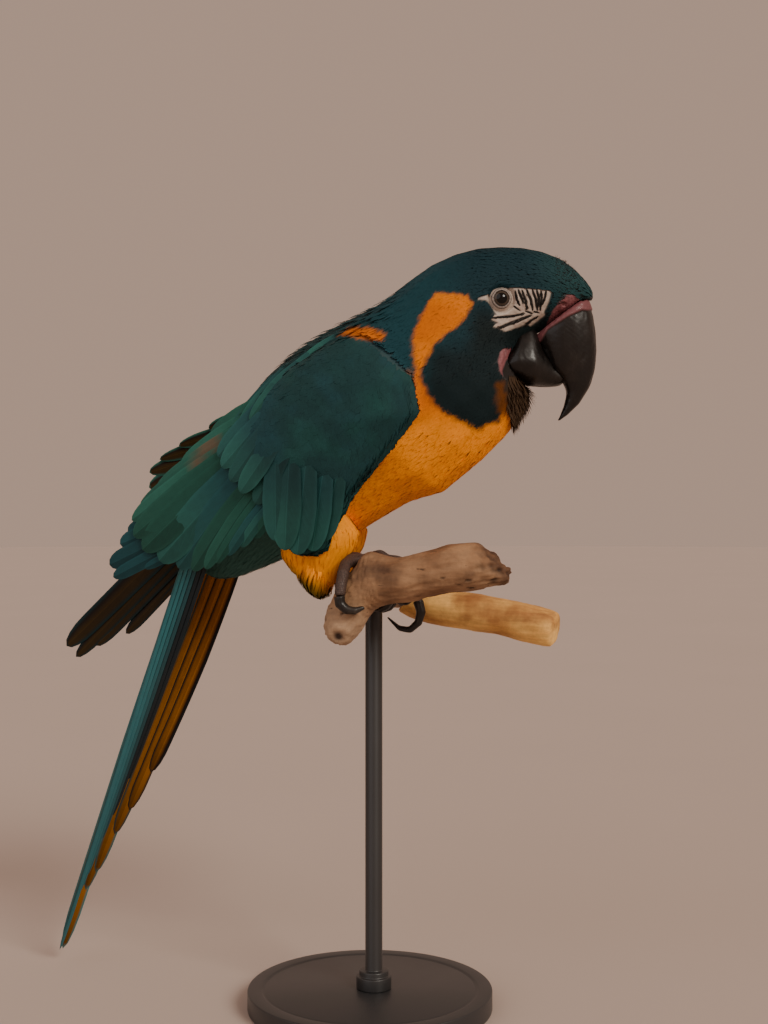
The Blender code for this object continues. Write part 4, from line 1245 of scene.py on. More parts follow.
class MACAW_OT_coat(bpy.types.Operator):
    """Cover head, neck, body, thighs and shields with small overlapping feathers"""
    bl_idname = "macaw.coat"
    bl_label = "Coat"
    bl_options = {"REGISTER", "UNDO"}

    def execute(self, context):
        coat = context.scene.macaw_coat
        skin = bpy.data.objects["skin"]
        tree = surface_tree(skin)
        rng = np.random.default_rng(coat.seed)

        def spacing(points):
            return coat.spacing * (1 - 0.34 * head_share(points))

        def feathered(points):
            covered = bare_share(points) + horn_share(points)
            return (covered < 0.4) & (MACAW_OT_skin.scaly_share(points) < 0.3)

        roots = sprinkle(skin, spacing, coat.seed, feathered)
        solids = {node: node_tree(node) for node in REGIONS}
        gaps = np.stack([nearest(solids[node], roots)[2] for node in REGIONS], axis=1)
        shields = [i for i, node in enumerate(REGIONS) if "coverts" in node]
        gaps[np.ix_(roots[:, 2] < SHIELD_END, shields)] = FAR_AWAY
        owner = gaps.argmin(axis=1)
        for i, (region, lie) in enumerate(REGIONS.values()):
            mine = roots[owner == i]
            if region in ("head", "neck", "body"):
                right = straighten(mine)[:, 1] < 0
                parts = ((region + "_right", mine[right]), (region + "_left", mine[~right]))
            else:
                parts = ((region, mine),)
            for name, chosen in parts:
                self.plant("coat_" + name, tree, chosen, lie, coat, rng, solids)
        return {"FINISHED"}

    @staticmethod
    def plant(name, tree, roots, lie, coat, rng, solids):
        shield, thigh = "shield" in name, "thigh" in name
        head = head_share(roots)
        jitter = rng.uniform(0.85, 1.15, len(roots))
        length = (13.5 - 7.0 * head) * MM * jitter
        half = (1.25 - 0.45 * head) * MM * rng.uniform(0.85, 1.15, len(roots))
        depth = coat.body_depth + (coat.head_depth - coat.body_depth) * head
        if shield:
            down = smooth_step(0.46, 0.34, roots[:, 2])
            length, half = (12 + 9 * down) * MM * jitter, (2.4 + 1.2 * down) * MM
            depth = coat.wing_depth
        depth = np.broadcast_to(depth, length.shape) * rng.uniform(0.93, 1.0, len(roots))
        # Thighs and lower belly have longer, looser fluff; a few tips stand up on the nape.
        fluff = smooth_step(0.352, 0.322, roots[:, 2]) * (not shield)
        length = length * (1 + (0.55 if thigh else 0.25) * fluff)
        nape = smooth_step(0.050, 0.015, roots[:, 0]) * smooth_step(0.450, 0.475, roots[:, 2])
        lifted = (rng.random(len(roots)) < LIFTED_SHARE) * nape * (not shield)
        depth = depth * (1 + 1.6 * fluff * rng.random(len(roots)) * (1.6 if thigh else 0.7) +
                         1.1 * lifted)
        # Feathers that would lie over the bare face are kept short, or left out.
        for _ in range(3):
            reach, middle = (roots + lie(roots) * (length * share)[:, None] for share in (1.0, 0.5))
            covered = np.maximum(bare_share(reach), bare_share(middle)) > 0.3
            length = np.where(covered, length * 0.55, length)
        kept = ~covered | (length > 3.5 * MM)
        roots, length, half, depth = roots[kept], length[kept], half[kept], depth[kept]
        turn = rng.normal(0, 0.06, len(roots))
        rows, low = 5, np.full(len(roots), ROOT_RISE)
        spines, sides, ups = follow(tree, roots, lie, length, rows, low, depth)
        if not shield:                          # neighbours stop short of the folded wings
            wings = [solids["wing_%s_coverts" % word] for word, _ in SIDES]
            gap = np.min([nearest(wing, roots)[2] for wing in wings], axis=0)
            close = np.nonzero(gap < WING_REACH)[0]
            for _ in range(3):
                over = on_shield(spines[close, 1:].reshape(-1, 3), 1.0 * MM)
                close = close[over.reshape(-1, rows - 1).any(axis=1)]
                if not len(close):
                    break
                length[close] *= 0.5
                spines[close], sides[close], ups[close] = follow(
                    tree, roots[close], lie, length[close], rows, low[close], depth[close])
            kept = length > 3 * MM
            spines, sides, ups = spines[kept], sides[kept], ups[kept]
            roots, length, half, turn = roots[kept], length[kept], half[kept], turn[kept]
        # A little twist in the lie of each feather, and the loose ends of the belly and thighs.
        loose = 0.35 * MM * (1 + thigh) * rng.normal(0, 1, (len(roots), 1))
        t = np.linspace(0, 1, rows)
        twist = turn[:, None] * length[:, None] * t + loose * t ** 2
        spines = spines + sides * twist[..., None]
        shape = (0, 0.8, 1.05, 1.0, 0) if shield else (0, 0.85, 1.0, 0.72, 0)
        halves = half[:, None] * np.array(shape)
        lifts = np.broadcast_to(np.array((0, 0.14, 0.13, 0.09, 0)) * MM, halves.shape)
        tone_at = shield_tone if shield else body_tone
        colours = tone_at(spines.reshape(-1, 3)).reshape(spines.shape)
        # Each feather's tone differs a little at random, and painted shade darkens it towards its root,
        # where its neighbours lie over it.
        shade = rng.uniform(0.95, 1.05, (len(roots), 1)) * np.array((0.92, 0.96, 0.99, 1.02, 1.03))
        colours = colours * shade[..., None]
        piece = vane_mesh(name, spines, sides, ups, halves, lifts, colours, body_map(roots))
        slot = "breast_feathers" if thigh or "body" in name else "body_feathers"
        dress(piece, small_vane_finish(), "wing_feathers" if shield else slot)


def small_vane_finish():
    made = bpy.data.materials.get("small feathers")
    return made or vane_finish("small feathers", barbs=8.0, gloss=0.02, contrast=0.30, rim=0.06)


FLUFF_END = 0.3005                           # height at which the fluff of the legs ends


def fluff_shape(z):
    """Middle, half length and half depth of the fluff round a leg at height z."""
    heights = (FLUFF_END, 0.304, 0.3145, 0.324, 0.332, 0.342, 0.356)
    middle = np.interp(z, heights, (-0.026, -0.0265, -0.0325, -0.0325, -0.0295, -0.0275, -0.0290))
    reach = np.interp(z, heights, (0.0030, 0.0080, 0.0180, 0.0250, 0.0275, 0.0280, 0.0200))
    depth = np.interp(z, heights, (0.0025, 0.0065, 0.0135, 0.0185, 0.0205, 0.0210, 0.0160))
    return middle, reach, depth


def shield_tone(points):
    """Colour of the wing's coverts: dark teal, greener and bluer in soft patches, lighter behind."""
    x, _, z = points.T
    colour = mix(np.tile(SHIELD, (len(x), 1)), SHIELD_LIGHT,
                 0.5 * smooth_step(-0.3, 1.0, wobble(points, 0.035, 61)))
    colour = mix(colour, SHIELD_BLUE, 0.7 * smooth_step(-0.035, -0.070, x) * smooth_step(0.36, 0.39, z))
    colour = mix(colour, SHIELD_BLUE * 0.9, 0.5 * smooth_step(0.0, 1.0, wobble(points, 0.022, 62)))
    colour = colour * (1 + 0.10 * wobble(points, 0.008, 63))[:, None]
    return mix(colour, BAND, 0.9 * edge(SHOULDER_PATCH, x, z, 1.6 * MM))


# ---- small feathers of the face and chin ----
ASIDE, LONGEST_RAY = 0.06, 0.058             # rays start this far out and stop before the middle


class MACAW_OT_face(bpy.types.Operator):
    """Make the bare face's lines of tiny dark feathers, the bristles and the loose chin feathers"""
    bl_idname = "macaw.face"
    bl_label = "Face feathers"
    bl_options = {"REGISTER", "UNDO"}

    def execute(self, context):
        skin = bpy.data.objects["skin"]
        tree = surface_tree(skin)
        rng = np.random.default_rng(17)
        roots, ways, lengths = [], [], []
        for _, side in SIDES:
            for line, half in FACE_LINES:
                line = np.array(line)
                run = run_along(line)
                for s in np.arange(0.2, run[-1] - 1.0, 0.55):
                    x, z = (np.interp(s, run, line[:, i]) for i in (0, 1))
                    x2, z2 = (np.interp(s + 1.0, run, line[:, i]) for i in (0, 1))
                    way = unit(np.array((x2 - x, 0, z2 - z)))
                    if way[0] > 0.75:                   # below the eye they point back, not forward
                        way, x, z = -way, x2, z2
                    for _ in range(2):
                        drift = rng.normal(0, 0.45 * half)
                        here = (x + drift * way[2]) * MM, (z - drift * way[0]) * MM
                        found = self.on_head(tree, *here, side)
                        if found is not None:
                            roots.append(found)
                            ways.append(way + (0, 0, rng.normal(0, 0.12)))
                            lengths.append(rng.uniform(1.6, 2.8) * MM)
        roots, ways, lengths = np.array(roots), unit(np.array(ways)), np.array(lengths)
        self.plant("face_feathers", tree, roots, ways, lengths, 0.30 * MM, 0.25 * MM, 0.6 * MM,
                   FACE_LINE, rng)

        # Bristles where the forehead meets the bill, and the loose brown feathers of the chin.
        def chin(points):
            x, _, z = straighten(points).T
            return (edge(CHIN_OUTLINE, x, z, 1 * MM) > 0.5) & (z > 0.4)

        def brow(points):
            x, _, z = straighten(points).T
            rosy = face_masks(points)[1]
            return (x > 0.133) & (z > 0.498) & (rosy < 0.6) & (x + 0.35 * z < 0.3285)

        roots = sprinkle(skin, 1.4 * MM, 5, chin)
        ways = np.tile((0.10, 0.0, -1.0), (len(roots), 1)) + rng.normal(0, 0.12, (len(roots), 3))
        self.plant("chin_feathers", tree, roots, unit(ways), rng.uniform(6.5, 12, len(roots)) * MM,
                   0.80 * MM, 0.5 * MM, 4.5 * MM, CHIN, rng, 0.7)

        self.hang_fluff(rng)
        roots = sprinkle(skin, 1.4 * MM, 6, brow)
        ways = np.tile((0.55, 0.0, 0.25), (len(roots), 1)) + rng.normal(0, 0.25, (len(roots), 3))
        self.plant("brow_bristles", tree, roots, unit(ways), rng.uniform(2.5, 4.5, len(roots)) * MM,
                   0.20 * MM, 0.2 * MM, 2.0 * MM, FACE_LINE * 1.4, rng)
        return {"FINISHED"}

    @staticmethod
    def hang_fluff(rng):
        """Loose feathers of thighs and lower belly, hanging round each leg over the shank and toes."""
        spines, ups = [], []
        t = np.linspace(0, 1, 5)
        for _, side in SIDES:
            for level in np.arange(0.356, 0.311, -0.0030):
                middle, reach, _ = fluff_shape(np.array([level]))
                count = int(2 * math.pi * (reach[0] + 0.004) / 0.0017)
                for spin in (np.arange(count) + rng.uniform(0, 1)) / count * 2 * math.pi:
                    top = level + rng.uniform(-0.0015, 0.0015)
                    fall = top - FLUFF_END
                    z = top - fall * t * min(1.0, rng.uniform(0.012, 0.017) / fall)
                    around = spin + rng.normal(0, 0.05) * t
                    middle, reach, depth = fluff_shape(z)
                    if side > 0:                    # the left thigh is held further back
                        middle, reach = middle - 0.16 * reach, reach * 0.64
                    grow = 0.4 * MM * rng.normal() * t - 1.2 * MM * (1 - t) ** 2
                    cos, sin = np.cos(around), np.sin(around)
                    spines.append(np.stack((middle + (reach + grow) * cos,
                                            side * (0.024 + (depth + grow) * sin), z), axis=1))
                    ups.append(np.stack((cos / reach, side * sin / depth, 0 * t), axis=1))
        spines, ups = np.array(spines), unit(np.array(ups))
        sides = unit(np.cross(unit(spines[:, -1] - spines[:, 0])[:, None], ups))
        widths = rng.uniform(0.85, 1.15, (len(spines), 1))
        halves = 1.75 * MM * np.array((0, 0.85, 1.0, 0.8, 0)) * widths
        lifts = np.broadcast_to(np.array((0, 0.12, 0.10, 0.08, 0)) * MM, halves.shape)
        colours = body_tone(spines.reshape(-1, 3)).reshape(spines.shape)
        colours = colours * rng.uniform(0.93, 1.05, (len(spines), 1, 1))
        piece = vane_mesh("belly_fluff", spines, sides, ups, halves, lifts, colours,
                          body_map(spines[:, 0]))
        dress(piece, small_vane_finish(), "breast_feathers")

    @staticmethod
    def on_head(tree, x, z, side):
        """Place on the skin of a point of the straight head, seen from its own side."""
        angle = HEAD_YAW * smooth_step(0.0, YAW_LENGTH, (np.array((x, z)) - YAW_START) @ YAW_LINE)
        cos, sin = math.cos(angle), math.sin(angle)
        start = np.array((YAW_PIVOT[0] + (x - YAW_PIVOT[0]) * cos - side * ASIDE * sin,
                          (x - YAW_PIVOT[0]) * sin + side * ASIDE * cos, z))
        place, _, _, distance = tree.ray_cast(Vector(start), Vector((sin * side, -cos * side, 0)))
        return None if place is None or distance > LONGEST_RAY else np.array(place)

    @staticmethod
    def plant(name, tree, roots, ways, lengths, half, low, high, colour, rng, cling=0.9):
        """Narrow feathers that lean towards the skin by cling and rise from low to high over it."""
        place, normal, _ = nearest(tree, roots)
        ways = turn_back(ways, roots)
        rows = 4
        t = np.linspace(0, 1, rows)
        flat = unit(ways - normal * np.sum(ways * normal, axis=1, keepdims=True) * cling)
        rise = low * 0.3 + (high - low) * t[None] ** 1.6 * (lengths[:, None] / lengths.max())
        spines = (place[:, None] + flat[:, None] * (lengths[:, None] * t)[..., None] +
                  normal[:, None] * rise[..., None])
        sides = np.broadcast_to(np.cross(flat, normal)[:, None], spines.shape)
        ups = np.broadcast_to(normal[:, None], spines.shape)
        halves = half * np.array((0, 1, 0.8, 0)) * rng.uniform(0.8, 1.2, (len(roots), 1))
        lifts = np.broadcast_to(np.array((0, 0.10, 0.08, 0)) * MM, halves.shape)
        colours = colour * rng.uniform(0.7, 1.5, (len(roots), 1, 1)) * np.ones((1, rows, 1))
        piece = vane_mesh(name, spines, sides, ups, halves, lifts, colours, body_map(roots))
        dress(piece, small_vane_finish(), "body_feathers")


# ---- flight feathers ----
SHOULDER = (0.015, 0.472)
WING_SWING = {"right": 0.0, "left": math.radians(8)}     # the left one a little further back
TIP_SWING = 1.3                              # and the tips of its secondaries more than that
FEATHERS_PER_FAN = {"primaries": 5, "secondaries": 15}

# Fans of flight feathers: root points and tip points as (x, y, z) in mm, y outward from the middle.
SECONDARY_ROOTS = [(-40, -53, 366), (-52, -55, 380), (-62, -54, 398), (-66, -50, 416),
                   (-56, -44, 438)]
SECONDARY_TIPS = [(-68, -49, 338), (-92, -44, 325), (-114, -38, 315), (-140, -32, 315),
                  (-172, -29, 328), (-182, -28, 350), (-160, -29, 375), (-112, -34, 412)]
PRIMARY_ROOTS = [(-90, -34, 350), (-106, -32, 370)]
PRIMARY_TIPS = {
    "right": [(-172, -26, 314), (-206, -24, 307), (-197, -24, 328), (-188, -24, 342)],
    "left": [(-158, -20, 260), (-185, -19, 230), (-210, -18, 216), (-227, -17, 204), (-237, -17, 211)],
}
# Large coverts at the shield's lower end and along its rear edge, and the scapulars above it:
# (root x, root z, tip x, tip z, half width) in mm.
GREAT_COVERTS = [(-2, 384, -13.5, 336, 10), (-12, 386, -21, 329, 11), (-24, 392, -31, 326.5, 12),
                 (-36, 394, -40, 329.5, 11.5), (-47, 396, -47, 336, 10)]
REAR_COVERTS = [(-38, 402, -64, 362, 9), (-44, 410, -75, 370, 9), (-50, 418, -84, 378, 9),
                (-54, 426, -92, 388, 9), (-56, 434, -97, 396, 8.5)]
SCAPULARS = [(-40, 462, -70, 421, 4.6), (-30, 470, -62, 436, 4.4), (-48, 464, -84, 412, 5),
             (-58, 458, -95, 404, 5), (-64, 452, -102, 409, 4.6), (-14, 479, -50, 452, 4.2),
             (-2, 484, -36, 465, 4.0)]
TAIL_ROOT = np.array((-0.153, 0, 0.322))
TAIL_TIP = np.array((-0.265, 0, 0.011))
TAIL_SLOPE = math.radians(54)
TAIL_WIDTHS = (0.044, 0.012)                 # each half at root and tip
TAIL_STEPS = (0, 52, 68, 102, 124, 158)      # how much shorter each feather is, mm

TEAL = tone(0.012, 0.066, 0.050)
TEAL_BLUE = tone(0.011, 0.056, 0.066)
TEAL_LIGHT = tone(0.026, 0.130, 0.100)
WORN = tone(0.084, 0.0616, 0.0406)
SCAPULAR = SHIELD * 1.15
SHIELD_UNDER = SHIELD * 0.7
SMOKY = tone(0.007, 0.0040, 0.0022)            # brown-black vanes of the far wing's inner side
GOLD_UNDER = tone(0.030, 0.016, 0.002)
TAIL_TEAL = tone(0.0330, 0.1850, 0.2050)
TAIL_BLUE = tone(0.004, 0.011, 0.015)
TAIL_GOLD = tone(0.30, 0.110, 0.001)
TAIL_MARGIN = tone(0.012, 0.005, 0.0028)


def swung(x, z, angle):
    """Side-view point swung back about the shoulder."""
    dx, dz = x - SHOULDER[0], z - SHOULDER[1]
    return (SHOULDER[0] + dx * math.cos(angle) + dz * math.sin(angle),
            SHOULDER[1] - dx * math.sin(angle) + dz * math.cos(angle))


def along(rows, u):
    """Smooth curve through the rows at position u, counted in rows."""
    rows = np.asarray(rows, float)
    rows = np.vstack((2 * rows[0] - rows[1], rows, 2 * rows[-1] - rows[-2]))
    k = min(int(u), len(rows) - 4)
    t, (a, b, c, d) = u - k, rows[k:k + 4]
    return 0.5 * (2 * b + (c - a) * t + (2 * a - 5 * b + 4 * c - d) * t ** 2 +
                  (3 * b - a - 3 * c + d) * t ** 3)


def fan_points(line, count, side, swing):
    points = []
    for i in range(count):
        x, y, z = along(line, (len(line) - 1) * i / (count - 1)) * MM
        x, z = swung(x, z, swing)
        points.append((x, -side * y, z))
    return np.array(points)


ROWS = 15
ROW_PLACES = 1 - (1 - np.linspace(0, 1, ROWS)) ** 1.6


def blade_outline(blunt=0.12):
    """Share of full width along a flight feather, rounded at the tip."""
    t = ROW_PLACES
    width = np.interp(t, (0, 0.12, 0.5, 1.0), (0.50, 0.80, 1.0, 0.86))
    end = np.sqrt(np.clip(1 - ((t - (1 - blunt)) / blunt) ** 2, 0, 1))
    width = width * np.where(t > 1 - blunt, end, 1)
    width[0] = width[-1] = 0
    return width


class Blades:
    """Large feathers gathered into one piece."""

    def __init__(self):
        self.spines, self.sides, self.ups = [], [], []
        self.halves, self.lifts, self.colours = [], [], []

    def add(self, spine, side, up, half, thick, colour, blunt=0.12):
        spine = np.asarray(spine)
        self.spines.append(spine)
        self.sides.append(np.broadcast_to(side, spine.shape))
        self.ups.append(np.broadcast_to(up, spine.shape))
        self.halves.append(half * blade_outline(blunt))
        self.lifts.append(thick * (1 - 0.6 * ROW_PLACES))
        self.colours.append(np.broadcast_to(colour, spine.shape))

    def build(self, name, material, slot, under=None, nodes=()):
        count = len(self.spines)
        grid = math.ceil(math.sqrt(count))
        places = np.array([((i % grid + 0.5) / grid, (i // grid + 0.5) / grid) for i in range(count)])
        piece = vane_mesh(name, *(np.array(v) for v in (self.spines, self.sides, self.ups, self.halves,
                                                        self.lifts, self.colours)),
                          places, LARGE_RING, under, 0.9 / grid)
        return dress(piece, material, slot, *nodes)


def large_vane_finish():
    made = bpy.data.materials.get("flight feathers")
    return made or vane_finish("flight feathers", barbs=110.0, gloss=0.10, contrast=0.55,
                               rim=-0.20, web=0.35)


def add_fan(blades, roots, tips, side, thick, step, bow, colour_of, wide,
            splay=0.0, blunt=0.12, face=1):
    """A fan of feathers, each with one edge over its neighbour's by step.

    bow bends each feather away from the body, splay bends the last ones along the fan, wide is the
    share of the space to the neighbours that a feather fills, and face -1 turns the undersides out.
    """
    count = len(roots)
    axes = unit(tips - roots)
    middles = (roots + tips) / 2
    for i in range(count):
        spread = middles[min(i + 1, count - 1)] - middles[max(i - 1, 0)]
        across = unit(spread - axes[i] * (spread @ axes[i]))
        left = tips[i - 1] if i > 0 else tips[0] - (tips[1] - tips[0])
        right = tips[i + 1] if i < count - 1 else tips[i] + (tips[i] - tips[i - 1])
        half = np.clip(abs((right - left) @ across) / 4, 2.4 * MM, 13 * MM) * wide
        normal = np.cross(axes[i], across) * side
        t = ROW_PLACES[:, None]
        arch = 4 * t * (1 - t)
        bend = bow * arch * normal + across * splay * (i / count) * arch
        spine = roots[i] + (tips[i] - roots[i]) * t + bend
        tilt = unit(across + normal * (step / half) * 0.5)
        up = np.cross(axes[i], tilt) * side * face
        blades.add(spine, tilt, up, half, thick, colour_of(i, spine), blunt)


class MACAW_OT_wings(bpy.types.Operator):
    """Make the folded wings: secondaries and primaries in fans, large coverts and scapulars"""
    bl_idname = "macaw.wings"
    bl_label = "Wings"
    bl_options = {"REGISTER", "UNDO"}

    def execute(self, context):
        skin = surface_tree(bpy.data.objects["skin"])
        finish = large_vane_finish()
        rng = np.random.default_rng(29)
        for word, side in SIDES:
            swing = WING_SWING[word]
            flight = Blades()
            shade = rng.uniform(0.85, 1.2, 40)

            def secondary(i, spine):
                light = 0.55 if i % 3 == 1 else 0.24
                base = mix(TEAL_BLUE if i in (1, 2, 6, 7) else TEAL, TEAL_LIGHT,
                           smooth_step(0.15, 0.75, ROW_PLACES) * light)
                if word == "right" and i in (10, 11, 12):   # a worn brown ring near the rear edge
                    ring = np.hypot(spine[:, 0] + 0.104, spine[:, 2] - 0.392) - 0.010
                    worn = smooth_step(0.010, 0.004, np.abs(ring))
                    base = mix(base, WORN, 0.9 * worn)
                return base * shade[i]

            def primary(i, _):
                # The far wing's primaries are painted darker than the near wing's: painted shade.
                strength = 0.9 if word == "right" else 0.3
                return np.tile(TEAL_BLUE * strength, (ROWS, 1)) * shade[i + 16]

            count = FEATHERS_PER_FAN["primaries"]
            add_fan(flight, fan_points(PRIMARY_ROOTS, count, side, swing),
                    fan_points(PRIMARY_TIPS[word], count, side, swing),
                    side, 0.5 * MM, 1.6 * MM, 0.0, primary, wide=1.6)
            count = FEATHERS_PER_FAN["secondaries"]
            add_fan(flight, fan_points(SECONDARY_ROOTS, count, side, swing),
                    fan_points(SECONDARY_TIPS, count, side, swing * TIP_SWING),
                    side, 0.45 * MM, 1.4 * MM, 3 * MM, secondary, wide=1.85, blunt=0.20)
            flight.build("flight_feathers_" + word, finish, "wing_feathers", (GOLD_UNDER, SMOKY),
                         ("wing_%s_secondaries" % word, "wing_%s_primaries" % word))

            large = Blades()
            for row, low, high in ((REAR_COVERTS, 0.1, 2.3), (GREAT_COVERTS, 0.1, 2.6),
                                   (SCAPULARS, 0.6, 2.8)):
                for k, (rx, rz, tx, tz, half) in enumerate(row):
                    if word == "left" and row is GREAT_COVERTS and k == 0:
                        continue                    # it would show below the belly
                    spine, up = self.lay(skin, (rx, rz), (tx, tz), side, swing, low * MM, high * MM)
                    if row is SCAPULARS:
                        base, light = SCAPULAR, 0.55 - 0.25 * (k % 2)
                    else:
                        base = shield_tone(np.array([[rx, 0, rz]]) * MM)[0]
                        light = 0.30 + 0.14 * (k % 2)
                    colour = mix(np.tile(base, (ROWS, 1)), TEAL_LIGHT,
                                 light * smooth_step(0.2, 0.8, ROW_PLACES))
                    axis = unit(spine[-1] - spine[0])
                    across = unit(np.cross(axis, up))
                    large.add(spine, across, np.cross(across, axis), half * MM, 0.40 * MM,
                              colour * rng.uniform(0.88, 1.10), 0.30)
            large.build("large_coverts_" + word, finish, "wing_feathers", (SHIELD, SHIELD_UNDER))
        return {"FINISHED"}

    @staticmethod
    def lay(tree, root, tip, side, swing, low, high):
        """A feather's middle line over the wing from root to tip, and its outward direction."""
        line = []
        for t in ROW_PLACES:
            x, z = swung(*(np.array(root) + (np.array(tip) - np.array(root)) * t) * MM, swing)
            start = Vector((x, side * 0.12, z))
            place, _, _, gap = tree.ray_cast(start, Vector((0, -side, 0)))
            line.append((x, side * 0.12 - side * gap if place is not None else np.nan, z))
        line = np.array(line)
        y = np.abs(line[:, 1])
        for i in range(1, ROWS):                    # past the shield's edge the feather hangs on
            if not y[i] > y[i - 1] - 0.9 * MM:
                y[i] = y[i - 1] - 0.25 * MM
        y = np.convolve(np.pad(y, 2, mode="edge"), np.ones(5) / 5, mode="valid")
        line[:, 1] = side * (y + low + (high - low) * ROW_PLACES)
        slope = (line[-1] - line[0]) / np.linalg.norm(line[-1] - line[0])
        up = np.array((0.0, side, 0.25))
        return line, unit(up - slope * (up @ slope))


class MACAW_OT_tail(bpy.types.Operator):
    """Make the long tail: two sloping halves of stepped feathers, teal above and golden below"""
    bl_idname = "macaw.tail"
    bl_label = "Tail"
    bl_options = {"REGISTER", "UNDO"}

    def execute(self, context):
        finish = large_vane_finish()
        rng = np.random.default_rng(37)
        axis = unit(TAIL_TIP - TAIL_ROOT)
        down = np.cross((0, 1.0, 0), axis)
        down = down if down[0] > 0 else -down
        length = np.linalg.norm(TAIL_TIP - TAIL_ROOT)
        for word, side in SIDES:
            fall = down * math.sin(TAIL_SLOPE) + np.array((0, side * math.cos(TAIL_SLOPE), 0))
            roots, tips = [], []
            for i, short in enumerate(TAIL_STEPS):
                spread = (i + 0.5) / len(TAIL_STEPS)
                reach = length - short * MM
                width = TAIL_WIDTHS[0] + (TAIL_WIDTHS[1] - TAIL_WIDTHS[0]) * reach / length
                start = TAIL_ROOT + (0, side * 1.6 * MM, 0)
                roots.append(start - axis * 0.026 + fall * TAIL_WIDTHS[0] * spread)
                tips.append(start + axis * reach + fall * width * spread)
            shade = rng.uniform(0.85, 1.15, len(roots))

            def colour(i, _):
                base = mix(TAIL_TEAL, TAIL_BLUE, np.full(ROWS, 0.25 + 0.75 * smooth_step(1.5, 4.0, i)))
                return base * shade[i] * (1.1 - 0.35 * ROW_PLACES)[:, None]

            tail = Blades()
            # Only the outermost feather has a dark margin.
            margins = np.array([0.12] * (len(roots) - 1) + [1.0])
            add_fan(tail, np.array(roots), np.array(tips), side, 0.45 * MM, -1.0 * MM, 0.0, colour,
                    wide=2.4, splay=3 * MM, blunt=0.10, face=-1)
            tail.build("tail_feathers_" + word, finish, "tail_feathers",
                       (TAIL_GOLD, TAIL_MARGIN, margins), ("tail_" + word,))
        return {"FINISHED"}


# ---- perch and stand ----
LOG_VOXEL, BRANCH_VOXEL = 0.0013, 0.0014
KNOT = np.array((-0.002, -0.053, 0.270))
LOG_PEAK = (0.017, -0.042)                   # the spike on the log's top, ahead of the feet
PEAK_REACH = 0.013


class MACAW_OT_perch(bpy.types.Operator):
    """Make the weathered driftwood with knot and splintered end, and the smooth branch behind it"""
    bl_idname = "macaw.perch"
    bl_label = "Perch"
    bl_options = {"REGISTER", "UNDO"}

    def execute(self, context):
        self.add_log(context.scene.macaw_stand.grain_depth)
        self.add_branch()
        return {"FINISHED"}

    @staticmethod
    def add_log(grain):
        wood = remeshed_copy("driftwood", ["perch_log"], 0.2 * MM, LOG_VOXEL)
        soften(wood, 60)
        points, normals = points_of(wood), normals_of(wood)
        x, y, z = points.T
        # The limb runs along X and the log along Y, and so does their grain.
        long = smooth_step(0.010, 0.030, x)
        stretched = points * np.stack((1 - 0.82 * long, 1 - 0.75 * (1 - long), np.ones(len(x))), axis=1)
        sink = grain * wobble(stretched, 0.0052, 71) + 0.5 * grain * wobble(stretched, 0.0028, 72)
        sink += 1.2 * MM * wobble(points, 0.038, 73)
        # The knot on the lower knob, and the hollow, splintered end.
        knot = np.linalg.norm(points - KNOT, axis=1)
        lip = smooth_step(0.0035, 0.0, np.abs(knot - 0.0075))
        sink -= 1.6 * MM * smooth_step(0.0055, 0.0020, knot) - 0.9 * MM * lip
        end = smooth_step(0.092, 0.106, x)
        away = ((x - LOG_PEAK[0]) / PEAK_REACH) ** 2 + ((y - LOG_PEAK[1]) / PEAK_REACH) ** 2
        peak = np.exp(-away) * np.maximum(normals[:, 2], 0)
        chips = np.clip(wobble(points * (0.35, 1, 1), 0.006, 74), -1, 1)
        sink += end * (1.6 * MM * chips - 1.0 * MM)
        pits = np.clip(wobble(stretched, 0.0110, 75) + 0.5 * wobble(points, 0.0050, 79) - 0.95, 0, 1)
        sink -= 2.0 * MM * pits
        move_points(wood, points + normals * (sink - 0.9 * MM)[:, None] +
                    np.outer(peak, (-0.002, 0, 0.009)))
        # Darker in the knot's middle, in the pits and on the sunken chips of the end.
        stain = np.clip(smooth_step(0.0050, 0.0015, knot) + 1.8 * pits +
                        end * np.clip(-chips, 0, 1) * 0.8, 0, 1)
        store(wood, "stain", stain)
        # Paler towards the underside.
        store(wood, "bleached", smooth_step(0.302, 0.278, z + 0.25 * x))
        smooth_shade(wood)
        dress(wood, driftwood_finish("driftwood", tone(0.34, 0.190, 0.095), tone(0.20, 0.092, 0.038),
                                     tone(0.070, 0.028, 0.011), (0.22, 1.0, 1.0), 0.8),
              "driftwood", "perch_log")

    @staticmethod
    def add_branch():
        branch = remeshed_copy("branch", ["perch_branch"], 0.1 * MM, BRANCH_VOXEL)
        soften(branch, 60)
        points, normals = points_of(branch), normals_of(branch)
        stretched = points * (0.16, 1, 1)
        sink = 0.30 * MM * wobble(stretched, 0.0045, 76) + 0.7 * MM * wobble(points, 0.045, 77)
        move_points(branch, points + normals * (sink - 0.7 * MM)[:, None])
        store(branch, "stain", np.clip(wobble(stretched, 0.010, 78) - 0.75, 0, 1) * 0.5)
        store(branch, "bleached", np.zeros(len(points)))
        smooth_shade(branch)
        dress(branch, driftwood_finish("tan branch", tone(0.92, 0.54, 0.155), tone(0.84, 0.44, 0.110),
                                       tone(0.34, 0.140, 0.036), (0.12, 1.0, 1.0), 0.2),
              "tan_driftwood", "perch_branch")


